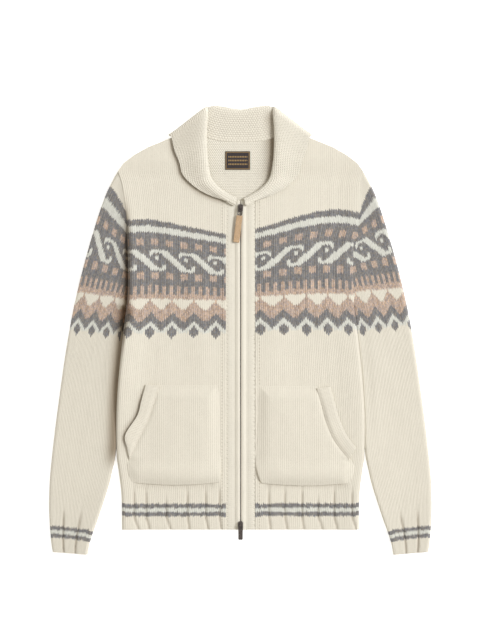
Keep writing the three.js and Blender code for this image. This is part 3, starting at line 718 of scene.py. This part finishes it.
# ---- pieces ----
class CARDIGAN_OT_fronts(bpy.types.Operator):
    """Both fronts, with the rounded side folds and the strips that lie under the body"""

    bl_idname = "cardigan.fronts"
    bl_label = "Fronts"

    def execute(self, context):
        for side in SIDES:
            self.front(side)
        return {"FINISHED"}

    def front(self, side):
        flat = 2 * FRONT_WALES
        fold, under = 12, 3
        start = BAND_OUTER + SEAM / 2
        foot, head = BAND_FOOT[side], band_head[side]
        pull = chain_line(BAND_PULL)
        bow = FRONT_BOW[side]
        rows = (HEM_ROWS + list(range(18, BAND_FROM, 3))
                + list(range(BAND_FROM, FRONT_TOP + 1))
                + [FRONT_TOP + t for t in steps(0, 1, 34)[1:]])

        def height(v, x):
            if v <= BAND_FROM:
                return v * foot / BAND_FROM
            top = head(x)
            if v <= BAND_TO:
                t = (v - BAND_FROM) / (BAND_TO - BAND_FROM)
                return mix(foot, top, t * (1 + pull(x) * (1 - t)))
            if v <= FRONT_TOP:
                return top + (v - BAND_TO) * COURSE
            return mix(top + PLAIN_COURSES * COURSE, front_top_edge(x), v - FRONT_TOP)

        spots = {}

        def spot(i, j):
            """x, y and course of a grid point on the flat front."""
            if (i, j) not in spots:
                v = rows[j]
                a = i / flat * (1 + bow * (1 - i / flat))
                x, y = mix(start, 200, a), 300.0
                for _ in range(8 if v > FRONT_TOP else 4):
                    y = height(v, x)
                    x = mix(start, front_edge(side, min(y, SHOULDER_POINT)), a)
                climb = LEGS * ((i + 1) % 2) * fade(v, 0, 4) * ease((FRONT_TOP + 0.8 - v) * 1.2)
                course = v
                if v > FRONT_TOP:
                    course += FRONT_TOP - v + (y - head(x)) / COURSE - PLAIN_COURSES
                pitch = foot / BAND_FROM if v < BAND_FROM else COURSE
                uneven = stitch_jitter(i, j) * fade(v, 0, 4) * fade(v, FRONT_TOP, BAND_TO)
                y += (climb + uneven * fade(i, flat, flat - 3)) * pitch
                x = mix(start, front_edge(side, min(y, SHOULDER_POINT)), a)
                spots[i, j] = (x, y, course + climb)
            return spots[i, j]

        grooves = HEM_GROOVES[side]
        opening = curve([(y, x) for _, (x, y) in POCKET_BAND[side]])
        collar_foot = [(collar_line["edge", "x"](t), collar_line["edge", "y"](t))
                       for t in steps(5, len(COLLAR) - 1, 48)]

        def hem_dip(x, y):
            """Grooves of the hem rib, which lean and stop at uneven heights."""
            dip = 0.0
            for k, g in enumerate(grooves):
                lean = (-1 if side == "right" else 1) * (1 + 7 * scatter(k, 3)) * fade(y, 24, 0)
                tall = HEM_RIB + 6 - 26 * scatter(k, 5)
                dip -= 2.6 * bell(x - g - lean, 2.1) * fade(y, tall, tall - 26)
            return dip

        def relief(x, y):
            dip = hem_dip(x, y) if y < HEM_RIB + 10 else 0.0
            pucker = math.exp(-(x - start) / 9) * fade(y, 540, 500) * fade(y, 90, 130)
            return dip + 0.5 * pucker * math.sin(y / 2.1 + 3 * soft_noise(x, y, 30))

        def place(i, j):
            if i <= flat:
                x, y, _ = spot(i, j)
                z = front_top(side, x, y) + relief(x, y)
                inward = clamp01((front_edge(side, y) - x) / 6)
                sewn = fade(y, UNDERARM - 4, UNDERARM + 8) * fade(y, 575, 515)
                drop = sewn * (CREASE[side] + SIDE_PUFF[side]) * 0.75
                return metres(x, y, z - drop * (1 - math.sqrt(1 - (1 - inward) ** 2)))
            y = spot(flat, j)[1]
            edge = front_edge(side, y)
            reach = max(side_at(y) - edge, 0.2)
            if i <= flat + fold:
                angle = math.pi * (0.5 - (i - flat) / fold)
                high = front_top(side, edge, y)
                return metres(edge + reach * math.cos(angle), y, high / 2 * (1 + math.sin(angle)))
            return metres(edge - (i - flat - fold) / under * TURN_UNDER, y, 0)

        def stitch(i, j):
            _, _, course = spot(min(i, flat), j)
            return FIRST_COUNT + i / 2, course

        def yarn(i, j):
            return yarn_of(side, i // 2, (rows[j] + rows[j + 1]) / 2, HEM_STRIPES)

        def keep(i, j):
            return i < flat or spot(flat, j + 1)[1] < UNDERARM + 6

        # Painted shade: on both fronts it darkens the hem grooves and a line under the pocket
        # bottoms. On the right front it also darkens the side fold's crease, the crease along the
        # armhole, the pocket's mouth and the cast shadow of the collar's fall.
        def deep(i, j):
            x, y, _ = spot(min(i, flat), j)
            if i > flat:
                return 0.75 * fade(y, 290, 350) if side == "right" else 0.0
            hem = -0.12 * hem_dip(x, y)
            under = 0.3 * bell(y - 80, 3.5) * fade(x, 38, 50) * fade(x, 190, 178)
            if side == "left":
                return hem + under
            seam = 0.85 * bell(front_edge(side, y) - x, 7) * fade(y, 330, 380) * fade(y, 600, 510)
            fall = 0.0
            if y > 560 and x < 140:
                near = min((x - a) ** 2 + (y - b) ** 2 for a, b in collar_foot)
                fall = 0.6 * math.exp(-near / 45) * fade(x, 14, 34) * fade(y, 700, 660)
            pocket_mouth_shade = 0.6 * bell(x - opening(y), 6) * fade(y, 138, 158) * fade(y, 252, 222)
            return hem + under + seam + pocket_mouth_shade + fall

        bm = cloth_grid(flat + fold + under + 1, len(rows), place, stitch, yarn, keep,
                        mirror=side == "right", fold=deep)
        obj = walled_mesh(bm, f"Front_{side}", wool_material("face"))
        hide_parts(f"front_{side}")


class CARDIGAN_OT_back(bpy.types.Operator):
    """The back panel, its inner face up"""

    bl_idname = "cardigan.back"
    bl_label = "Back"

    def execute(self, context):
        half = 120
        cols = 2 * half + 1
        rows = (HEM_ROWS + list(range(18, BAND_FROM, 6))
                + list(range(BAND_FROM, BAND_TO + 1)) + [BAND_TO + t for t in steps(0, 1, 26)[1:]])
        foot, head = 335.0, 552.0

        def width(side, y):
            if y < UNDERARM:
                return side_at(y) - FOLD_REACH - TURN_UNDER - SEAM
            return seam_at(side, y) - SEAM / 2

        spots = {}

        def spot(i, j):
            if (i, j) not in spots:
                v = rows[j]
                u = (i - half) / half
                x, y = 200 * u, 300.0
                for _ in range(8 if v > BAND_TO else 3):
                    if v <= BAND_FROM:
                        y = v * foot / BAND_FROM
                    elif v <= BAND_TO:
                        y = mix(foot, head, (v - BAND_FROM) / (BAND_TO - BAND_FROM))
                    else:
                        y = mix(head, back_top_edge(abs(x)), v - BAND_TO)
                    x = u * width("left" if u > 0 else "right", y)
                course = v if v <= BAND_TO else BAND_TO + (y - head) / COURSE
                spots[i, j] = (x, y, course)
            return spots[i, j]

        def place(i, j):
            x, y, _ = spot(i, j)
            return metres(x, y, WALL + lift(y))

        def stitch(i, j):
            return (i - half) / 2, spot(i, j)[2]

        def yarn(i, j):
            course = (rows[j] + rows[j + 1]) / 2
            return yarn_of("back", (i - half) // 2, course, HEM_STRIPES)

        # Painted shadow of the collar's left roll on the inner back.
        def deep(i, j):
            x, y, _ = spot(i, j)
            return 0.85 * bell(x - 60, 17) * fade(y, 580, 620) if x > 0 else 0.0

        bm = cloth_grid(cols, len(rows), place, stitch, yarn, fold=deep)
        sides = (wool_material("purl"), wool_material("face"))
        obj = walled_mesh(bm, "Back", sides, inside_material=1)
        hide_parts("back")
        return {"FINISHED"}


# One row of a sleeve: inner end, direction outwards, height of the outer end above the hem,
# thickness, stitch width, whether it is sewn to the body, and the widths of its outer fold, inner
# fold and flat part.
Section = namedtuple("Section", "start way high tall pitch sewn reach inner span")


class CARDIGAN_OT_sleeves(bpy.types.Operator):
    """Both sleeves, lying beside the body, with ribbed cuffs"""

    bl_idname = "cardigan.sleeves"
    bl_label = "Sleeves"

    def execute(self, context):
        for side in SIDES:
            self.sleeve(side)
        return {"FINISHED"}

    def sleeve(self, side):
        def shift(v):
            return SLEEVE_SHIFT[side] * fade(v, 60, 110) * fade(v, 186, 136)

        turned_up = chain_line(SLEEVE_TURN[side])
        outer_y = curve([(v, outer + shift(v)) for v, outer, _ in SLEEVE_COURSES])
        inner_y = curve([(v, inner + shift(v) + turned_up(v)) for v, _, inner in SLEEVE_COURSES])
        gauge = curve(SLEEVE_GAUGE[side])
        # Columns run from the inner fold over the top layer and round the outer fold to the back.
        top, fold, under, turn = 84, 14, 42, 4
        top_end = turn + top
        under_from = top_end + fold
        under_end = under_from + under
        rows = ([-11.5, -10.5, -9, -7, -5, -4, -2.8, -1.6, -0.4, 0.75, 1.9, 3.1, 4.3, 6]
                + list(range(9, BAND_FROM, 3)) + list(range(BAND_FROM, SLEEVE_END + 1)))

        def section(v):
            low, high = inner_y(v), outer_y(v)
            sewn = low >= UNDERARM
            if sewn:
                x = seam_at(side, low) + SEAM / 2
            else:
                x = side_at(low) + 0.7 if low > 150 else sleeve_low_inner(low)
                x -= SLEEVE_TUCK * fade(low, 130, 160)
            start = Vector((x, low))
            way = Vector((sleeve_outer_at(high), high)) - start
            reach = min(SLEEVE_FOLD, way.length * 0.42)
            inner = 0.0 if sewn else SLEEVE_TURN_IN
            tall = mix(9.6, ARMHOLE_TOP, fade(low, UNDERARM - 60, UNDERARM + 10))
            return Section(start, way.normalized(), high, tall, gauge(high), sewn, reach, inner,
                           way.length - reach - inner)

        sections = [section(v) for v in rows]

        def free_at(wale, j):
            """0 at the sewn edge of this and the next rows, 1 from two stitches away."""
            return ease((min(r.span / r.pitch for r in sections[j:j + 3]) - wale) / 2)

        def climb_at(wale, j):
            """How far a stitch's leg climbs, flat at both ends and at the sewn edge."""
            leg = LEGS * 2 * abs(wale % 1 - 0.5) * ease((rows[j] - rows[0]) / 3)
            return leg * fade(rows[j], SLEEVE_END - 1, SLEEVE_END - 5) * free_at(wale, j)

        def lying(i, j):
            """Point of the top layer before its legs climb."""
            r = sections[j]
            past = max(r.span - (top_end - i) / 2 * r.pitch, 0.0)
            share = past / max(r.span, 1e-6)
            wide = fade(r.span, 0, 40)
            z = r.tall - 1.4 * math.sin(math.pi * share) * ease((r.span + r.reach + r.inner) / 60)
            z += self.relief(side, share, r.span, r.high) * wide
            z -= self.crease(side, past, r.start.y) * wide
            point = r.start + r.way * (r.inner + past)
            return Vector((point.x, point.y, z))

        def place(i, j):
            r = sections[j]
            if turn <= i <= top_end:
                wale = min((top_end - i) / 2, r.span / r.pitch)
                course = rows[j] + climb_at(wale, j)
                course += (stitch_jitter(i, j) * free_at(wale, j) * fade(wale, 0, 2)
                           * fade(rows[j], -8, -5) * fade(rows[j], SLEEVE_END - 1, SLEEVE_END - 5))
                k = min(max(bisect.bisect_right(rows, course) - 1, 0), len(rows) - 2)
                t = clamp01((course - rows[k]) / (rows[k + 1] - rows[k]))
                return metres(*lying(i, k).lerp(lying(i, k + 1), t))
            if i < turn:
                angle = i / turn * math.pi / 2
                along = r.inner * (1 - math.cos(angle))
                high = r.tall - self.crease(side, 0, r.start.y) * fade(r.span, 0, 40)
                z = mix((r.tall + SEAM) / 2, high, math.sin(angle))
            elif i <= under_from:
                angle = math.pi * (0.5 - (i - top_end) / fold)
                along = r.inner + r.span + r.reach * math.cos(angle)
                z = r.tall / 2 * (1 + math.sin(angle))
            elif i <= under_end:
                along = r.inner + max(r.span - (i - under_from) * r.pitch, 0.0)
                z = 0.0
            else:
                angle = (i - under_end) / turn * math.pi / 2
                along = r.inner * (1 - math.sin(angle))
                z = (r.tall - SEAM) / 2 * (1 - math.cos(angle))
            point = r.start + r.way * along
            return metres(point.x, point.y, z)

        def stitch(i, j):
            r, v = sections[j], rows[j]
            limit = r.span / r.pitch
            course = [v, v]
            if v > BAND_TO:
                course = [BAND_TO + (at(v) - at(BAND_TO)) / COURSE for at in (outer_y, inner_y)]
            if i < turn:
                return limit + (turn - i) / 2, course[1]
            if i <= top_end:
                wale = min((top_end - i) / 2, limit)
                return wale, mix(*course, wale / limit) + climb_at(wale, j)
            if i <= under_from:
                return (top_end - i) / 2, v
            return -fold / 2 - min(i - under_from, limit), v

        def yarn(i, j):
            course = (rows[j] + rows[j + 1]) / 2
            if i < under_from:
                wale = (top_end - i - 1) // 2
            else:
                wale = -fold // 2 - (i - under_from) - 1
            return yarn_of(f"sleeve_{side}", wale, course, CUFF_STRIPES)

        def keep(i, j):
            return turn <= i < under_end or not sections[j].sewn

        # Painted shade: darkens the cuff's grooves on both sleeves. On the right sleeve it also
        # darkens the crease beside the body, where the body's side casts its shadow.
        def deep(i, j):
            r = sections[j]
            from_fold = (top_end - max(i, turn)) / 2
            if i > top_end:
                from_fold = max(i - under_from, 0)
            along = max(r.span - from_fold * r.pitch, 0.0)
            cuff = 0.0
            if turn <= i <= top_end:
                cuff = 0.5 * self.cuff_dip(along, r.span, r.high, 1.9)
            if side == "left":
                return cuff
            upper = fade(r.start.y, 290, 360) * fade(r.start.y, 600, 470)
            lower = 0.8 * fade(r.start.y, 95, 140) * fade(r.start.y, 420, 330)
            return max(max(upper, lower) * bell(along, 13), cuff)

        cols = 2 * turn + top + fold + under + 1
        bm = cloth_grid(cols, len(rows), place, stitch, yarn, keep, mirror=side == "right",
                        fold=deep)
        obj = walled_mesh(bm, f"Sleeve_{side}", wool_material("face"))
        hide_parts(f"sleeve_{side}")

    def crease(self, side, along, low):
        """How far the sleeve sinks beside the body, deepest at the underarm."""
        deep = CREASE[side] * fade(low, 120, 240) * fade(low, 575, 465)
        return deep * (1 - fade(along, 0, 21))

    def cuff_dip(self, along, span, high, width):
        """Depth of the cuff's grooves, from 0 to 1."""
        if high >= CUFF_RIB + 20:
            return 0.0
        return (fade(high, CUFF_RIB + 14, CUFF_RIB - 8)
                * sum(bell(along - g * span, width) for g in CUFF_GROOVES))

    def relief(self, side, share, span, high):
        seed = 21.3 if side == "right" else 14.9
        body = math.sin(math.pi * clamp01(share)) * fade(high, 30, 70) * fade(high, 600, 540)
        swell = (0.9 * soft_noise(share * span, high, 55, seed)
                 + 0.4 * soft_noise(share * span, high, 20, seed))
        return body * swell - 2.5 * self.cuff_dip(share * span, span, high, 2.0)


def collar_point(at, s):
    """Middle of the collar's wall: section at, then 0-1 the stand, 1-2 the roll, 2-3 the fall."""
    t = abs(at)
    turn = math.radians(min(max(collar_turn(t), -90), 90))
    seam, roll, edge = (Vector((collar_line[name, "x"](t), collar_line[name, "y"](t)))
                        for name in ("seam", "roll", "edge"))
    toward = (roll - (seam + edge) / 2).normalized()
    apex = roll + toward * (-WALL / 2 - COLLAR_REACH)
    near = 2.15
    far = near + 2 * COLLAR_HALF
    flat = near + COLLAR_RISE
    if s <= 1:
        plan, q = seam.lerp(apex, s), near
    elif s <= 2:
        angle = math.pi * (s - 1.5)
        plan = apex + toward * COLLAR_REACH * math.cos(angle)
        q = mix(near, far, (1 + math.sin(angle)) / 2)
    else:
        plan = apex.lerp(edge, s - 2)
        q = mix(far, flat, fade(s, 2, 2.8))
    back = (1 - math.sin(turn)) / 2
    slack = (far - flat) * ease(s) if s <= 1 else far - flat
    fall_slack = q - flat if s > 2 else slack
    core = 4.15 + lift(plan.y) + (1 - back) * slack_over(plan.y) + back * fall_slack
    x = plan.x + 0.6 * math.cos(turn) * q
    y = plan.y + 0.42 * math.cos(turn) * q
    return Vector((-x if at < 0 else x, y, core + math.sin(turn) * q))


class CARDIGAN_OT_collar(bpy.types.Operator):
    """The collar, a layer that stands, rolls outward and falls on the fronts and under the back"""

    bl_idname = "cardigan.collar"
    bl_label = "Collar"

    def execute(self, context):
        last = len(COLLAR) - 1
        half = steps(0, last, 132)
        ats = [-t for t in reversed(half[1:])] + half
        rows = steps(0, 1, 14) + steps(1, 2, 10)[1:] + steps(2, 3, 18)[1:]
        points = [[collar_point(at, s) for s in rows] for at in ats]
        middle = rows.index(2.0)
        round_roll = run_lengths([column[middle] for column in points])
        up = [run_lengths(column) for column in points]

        def place(i, j):
            point = points[i][j]
            s = rows[j]
            if s < 0.12 and abs(ats[i]) < HIGH_NECK:
                point = point + Vector((0, -1.6 * (1 - s / 0.12), 0.5 * (1 - s / 0.12)))
            if s > 1.9 and collar_turn(abs(ats[i])) > 60:
                calm = fade(s, 1.9, 2.4) * fade(abs(ats[i]), last, last - 2)
                ripple = 0.5 * soft_noise(point.x, point.y, 34, 5.5)
                point = point + Vector((0, 0, calm * ripple))
            return metres(*point)

        def stitch(i, j):
            return round_roll[i] / 4.2, up[i][j] / 3.7

        # Painted shade: darkens the stand slightly, the stand under the left roll deeply where the
        # roll shades it, and the right fall a little.
        def deep(i, j):
            s = rows[j]
            stand = 0.09 * fade(s, 1.5, 1)
            if ats[i] < 0:
                return max(stand, 0.13 * fade(s, 1.7, 2.3) * fade(ats[i], -1.5, -3))
            side = fade(ats[i], 0.9, 2.4) * fade(ats[i], 9.5, 7.5)
            return max(stand, 0.65 * side * fade(s, 1.2, 0.7))

        bm = cloth_grid(len(ats), len(rows), place, stitch, fold=deep)
        obj = walled_mesh(bm, "Collar", wool_material("purl"), offset=0.0, rim=1.0)
        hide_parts("collar")
        return {"FINISHED"}


class CARDIGAN_OT_zip_bands(bpy.types.Operator):
    """The knitted bands beside the zip, each with a rolled edge and close ribs across"""

    bl_idname = "cardigan.zip_bands"
    bl_label = "Zip bands"

    def execute(self, context):
        profile = curve([
            (0.55, 7.4), (1.1, 8.8), (2.3, 9.5), (4.4, 9.9), (6.6, 9.6), (8.6, 8.5), (10.6, 7.9),
            (13, 8.3), (18, 8.7), (22.5, 8.4), (24.2, 8.1), (BAND_OUTER + 0.4, 8.0)])
        cuts = [0.55, 0.8, 1.3, 2.1, 3.2, 4.4, 5.6, 6.8, 8, 9, 9.8, 10.8, 11.8, 13, 14.5, 16.5,
                18.5, 20.5, 22, 23.2, 24, 24.8, BAND_OUTER + 0.4]
        rib = 3.6
        rows = steps(0, BAND_TOP + 3, round((BAND_TOP + 3) / rib * 2))
        for side in SIDES:
            seed = 31.0 if side == "right" else 35.0

            def place(i, j, seed=seed):
                x, y = cuts[i], rows[j]
                bars = fade(x, 11, 13.5) * fade(x, 24.5, 22)
                z = profile(x) + bars * (0.35 if j % 2 else -0.45)
                z += 0.5 * soft_noise(x, y, 40, seed) * fade(x, 2.3, 5.3)
                if j % 4 == 0 and 23 < x < 24.5:
                    z -= 1.5
                return metres(x, y, z)

            def stitch(i, j):
                return cuts[i] / 3.2, rows[j] / (rib / 2)

            bm = cloth_grid(len(cuts), len(rows), place, stitch, mirror=side == "right")
            obj = walled_mesh(bm, f"Zip_band_{side}", wool_material("rib"), thickness=3.2, rim=0.4)
            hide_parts(f"zip_band_{side}")
        return {"FINISHED"}


class CARDIGAN_OT_pockets(bpy.types.Operator):
    """Both patch pockets and the ribbed bands at their slanted openings"""

    bl_idname = "cardigan.pockets"
    bl_label = "Pockets"

    def execute(self, context):
        for side in SIDES:
            self.pocket(side)
            self.band(side)
        return {"FINISHED"}

    def pocket(self, side):
        inner_at = curve([(y, inner) for y, inner, _ in POCKET[side]])
        outer_at = curve([(y, outer) for y, _, outer in POCKET[side]])
        low, high = POCKET[side][0][0], POCKET[side][-1][0]
        cols, rows = 97, 60
        pitch = (side_at(300) - FOLD_REACH - BAND_OUTER) / FRONT_WALES
        band_foot = POCKET_BAND[side][0][0][1]

        def spot(i, j):
            u = i / (cols - 1)
            y = mix(low, high, j / (rows - 1))
            x = mix(inner_at(y), outer_at(y), u)
            y += -4.5 * math.sin(math.pi * u) * fade(y, 118, 82)
            return u, x, y

        def place(i, j):
            u, x, y = spot(i, j)
            flat_y = mix(low, high, j / (rows - 1))
            slack = dome(u) * fade(flat_y, 253, 228) * fade(flat_y, 80, 96)
            sag = 3.0 * bell(flat_y - low - 20, 12) * dome(u)
            from_inner, from_outer = 150 * u, 150 * (1 - u)
            below = fade(flat_y, band_foot + 6, band_foot - 4)
            sunk = max(4.3 * bell(from_inner, 16) * fade(flat_y, low + 5, low + 50),
                       4.3 * bell(high - flat_y, 11), 2.4 * bell(flat_y - low, 6),
                       4.3 * bell(from_outer, 12) * below, 1.3 * bell(from_outer, 5))
            z = front_top(side, x, y) + LAYER + POCKET_LIFT * slack + sag - sunk
            return metres(x, y, z)

        def stitch(i, j):
            _, x, y = spot(i, j)
            return x / pitch, y / COURSE

        bm = cloth_grid(cols, rows, place, stitch, mirror=side == "right")
        obj = walled_mesh(bm, f"Pocket_{side}", wool_material("face"), rim=1.4)
        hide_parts(f"pocket_{side}")

    def band(self, side):
        line = {(name, axis): curve([(k, row[n][a]) for k, row in enumerate(POCKET_BAND[side])])
                for n, name in enumerate(("seam", "free")) for a, axis in enumerate("xy")}
        last = len(POCKET_BAND[side]) - 1
        cols, rows = 13, BAND_RIBS * 6 + 1

        def place(i, j):
            w, at = i / (cols - 1), last * j / (rows - 1)
            x = mix(line["seam", "x"](at) - 2.6, line["free", "x"](at), w)
            y = mix(line["seam", "y"](at), line["free", "y"](at), w)
            rib = 0.12 * math.cos(2 * math.pi * j / 6) - 0.6 * (1 - fade(w, 0, 0.2))
            roll = -0.9 * fade(w, 0.8, 1)
            z = front_top(side, x, y) + LAYER + POCKET_LIFT * dome(at / last) * fade(w, 0, 0.35)
            return metres(x, y, z + rib + roll)

        def stitch(i, j):
            return i / 1.8, j / 1.5

        # Painted shade: the whole band is darkened a little to tone down its lit look, and more
        # beside its seam.
        bm = cloth_grid(cols, rows, place, stitch, mirror=side == "right",
                        fold=lambda i, j: 0.08 + 0.1 * (1 - fade(i, 0, 3)))
        obj = walled_mesh(bm, f"Pocket_band_{side}", wool_material("rib"),
                          thickness=WALL - 0.2, rim=1.2)
        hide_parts(f"pocket_band_{side}")


class CARDIGAN_OT_label(bpy.types.Operator):
    """The woven label inside the back neck"""

    bl_idname = "cardigan.label"
    bl_label = "Neck label"

    def execute(self, context):
        cols, rows = 23, 17

        def place(i, j):
            x = LABEL_X + LABEL_WIDTH * (i / (cols - 1) - 0.5)
            y = LABEL_Y + LABEL_DEPTH * (j / (rows - 1) - 0.5)
            z = WALL + lift(y) + SEAM + LABEL_WALL
            return metres(x, y, z + 0.15 * soft_noise(x, y, 9, 2.0))

        bm = cloth_grid(cols, rows, place, lambda i, j: (i / (cols - 1), j / (rows - 1)))
        trim = context.scene.cardigan_trim
        cloth = woven_material("Woven label", tuple(trim.label_ground), tuple(trim.label_thread))
        obj = walled_mesh(bm, "Neck_label", cloth, thickness=LABEL_WALL, rim=0.2)
        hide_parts("neck_label")
        return {"FINISHED"}


class CARDIGAN_OT_zip(bpy.types.Operator):
    """Zip teeth on their tape, and the finish of the sliders and metal pulls"""

    bl_idname = "cardigan.zip"
    bl_label = "Zip"

    def execute(self, context):
        trim = context.scene.cardigan_trim
        metal = metal_material("Dark zip metal", tuple(trim.metal))
        (x0, y0, z0), (x1, y1, _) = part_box("zip_chain")
        bm = bmesh.new()

        def block(size, centre):
            corners = bmesh.ops.create_cube(bm, size=1)["verts"]
            bmesh.ops.scale(bm, verts=corners, vec=size)
            bmesh.ops.translate(bm, verts=corners, vec=centre)

        block((x1 - x0, y1 - y0, 0.0012), ((x0 + x1) / 2, (y0 + y1) / 2, z0 + 0.002))
        pitch, clear = trim.tooth_pitch, 0.001
        for k in range(2 * int((y1 - y0 - 2 * clear) / pitch)):
            block((0.0024, 0.0011, 0.0024),
                  (0.0008 if k % 2 else -0.0008, y0 + clear + pitch * (k + 1) / 2, z0 + 0.0024))
        obj = finish_mesh(bm, "Zip_teeth", metal)
        obj.data.polygons.foreach_set("use_smooth", [False] * len(obj.data.polygons))
        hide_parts("zip_chain")
        for name in ("zip_slider_upper", "zip_slider_lower", "zip_pull_link", "zip_pull_lower"):
            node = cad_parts[name]
            node.data.materials.clear()
            node.data.materials.append(metal)
        return {"FINISHED"}


class CARDIGAN_OT_pull_tab(bpy.types.Operator):
    """The leather tab of the upper pull"""

    bl_idname = "cardigan.pull_tab"
    bl_label = "Leather pull tab"

    def execute(self, context):
        trim = context.scene.cardigan_trim
        low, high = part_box("zip_pull_leather")
        width, length, thick = trim.tab_width, trim.tab_length, 0.0026
        bm = bmesh.new()
        bmesh.ops.create_grid(bm, x_segments=10, y_segments=30, size=0.5)
        bmesh.ops.scale(bm, verts=bm.verts, vec=(width, length, 1))
        corners = [v for v in bm.verts if len(v.link_edges) == 2]
        bmesh.ops.bevel(bm, geom=corners, offset=0.0022, affect="VERTICES", segments=4, profile=0.5,
                        material=-1)
        for v in bm.verts:
            v.co.z += 0.0002 * math.cos(v.co.y / length * 6) - 1.5 * v.co.x ** 2
        lean, droop = math.radians(-7), math.radians(2.5)
        for angle, axis in ((lean, "Z"), (droop, "X")):
            bmesh.ops.rotate(bm, verts=bm.verts, cent=(0, 0, 0),
                             matrix=Matrix.Rotation(angle, 3, axis))
        middle = (Vector(low) + Vector(high)) / 2
        bmesh.ops.translate(bm, verts=bm.verts, vec=middle + Vector((0, 0, thick / 2)))
        leather = leather_material("Tan leather", tuple(trim.leather))
        obj = walled_mesh(bm, "Pull_tab", leather, body="upper_pull", thickness=2.6, rim=0.5)
        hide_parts("zip_pull_leather")
        return {"FINISHED"}


class CARDIGAN_OT_stage(bpy.types.Operator):
    """Camera straight above, a large soft light from the upper right and a pale floor"""

    bl_idname = "cardigan.stage"
    bl_label = "Stage"

    def execute(self, context):
        scene = context.scene
        stage = scene.cardigan_stage
        camera = bpy.data.objects.new("Camera", bpy.data.cameras.new("Camera"))
        scene.collection.objects.link(camera)
        camera.location = (-0.0009, 0.3658 + HEM_Y, stage.camera_height)
        camera.data.sensor_width = 36
        camera.data.lens = 36 * stage.camera_height / stage.view_height
        scene.camera = camera
        scene.view_settings.view_transform = "Standard"

        bm = bmesh.new()
        bmesh.ops.create_grid(bm, x_segments=1, y_segments=1, size=6)
        mesh = bpy.data.meshes.new("Floor")
        bm.to_mesh(mesh)
        bm.free()
        mesh.materials.append(floor_material("Pale floor", (0.9, 0.9, 0.9), 0.55))
        floor = bpy.data.objects.new("Floor", mesh)
        scene.collection.objects.link(floor)

        key = bpy.data.lights.new("Key light", "AREA")
        key.shape = "DISK"
        key.size = 2.2
        key.energy = stage.key_power
        key.color = (0.985, 1.0, 1.03)
        light = bpy.data.objects.new("Key light", key)
        light.location = (3.8, 1.5, 4.4)
        light.rotation_euler = (-light.location).to_track_quat("-Z", "Y").to_euler()
        scene.collection.objects.link(light)

        world = bpy.data.worlds.new("Soft room")
        world.use_nodes = True
        background = world.node_tree.nodes["Background"]
        background.inputs[0].default_value = (1.0, 0.95, 0.87, 1)
        background.inputs[1].default_value = stage.fill
        scene.world = world
        return {"FINISHED"}


class CARDIGAN_PT_panel(bpy.types.Panel):
    """Lists the pieces and their settings"""

    bl_label = "Zip cardigan"
    bl_idname = "CARDIGAN_PT_panel"
    bl_space_type = "VIEW_3D"
    bl_region_type = "UI"
    bl_category = "Cardigan"

    def draw(self, context):
        layout = self.layout
        for group in (context.scene.cardigan_wool, context.scene.cardigan_trim,
                      context.scene.cardigan_stage):
            box = layout.box()
            for name in group.bl_rna.properties.keys():
                if name not in ("rna_type", "name"):
                    box.prop(group, name)
        for operator in OPERATORS:
            layout.operator(operator.bl_idname)


SETTINGS = (
    (WoolSettings, "cardigan_wool"), (TrimSettings, "cardigan_trim"),
    (StageSettings, "cardigan_stage"),
)
OPERATORS = (
    CARDIGAN_OT_stage, CARDIGAN_OT_fronts, CARDIGAN_OT_back, CARDIGAN_OT_sleeves,
    CARDIGAN_OT_collar, CARDIGAN_OT_zip_bands, CARDIGAN_OT_pockets, CARDIGAN_OT_label,
    CARDIGAN_OT_zip, CARDIGAN_OT_pull_tab,
)


def register():
    for group, name in SETTINGS:
        bpy.utils.register_class(group)
        setattr(bpy.types.Scene, name, PointerProperty(type=group))
    for one in (*OPERATORS, CARDIGAN_PT_panel):
        bpy.utils.register_class(one)


def unregister():
    for one in reversed((*OPERATORS, CARDIGAN_PT_panel)):
        bpy.utils.unregister_class(one)
    for group, name in reversed(SETTINGS):
        delattr(bpy.types.Scene, name)
        bpy.utils.unregister_class(group)


def main():
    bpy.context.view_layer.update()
    register()
    bpy.ops.cardigan.stage()
    bpy.ops.cardigan.fronts()
    bpy.ops.cardigan.back()
    bpy.ops.cardigan.sleeves()
    bpy.ops.cardigan.collar()
    bpy.ops.cardigan.zip_bands()
    bpy.ops.cardigan.pockets()
    bpy.ops.cardigan.label()
    bpy.ops.cardigan.zip()
    bpy.ops.cardigan.pull_tab()


if __name__ == "__main__":
    main()
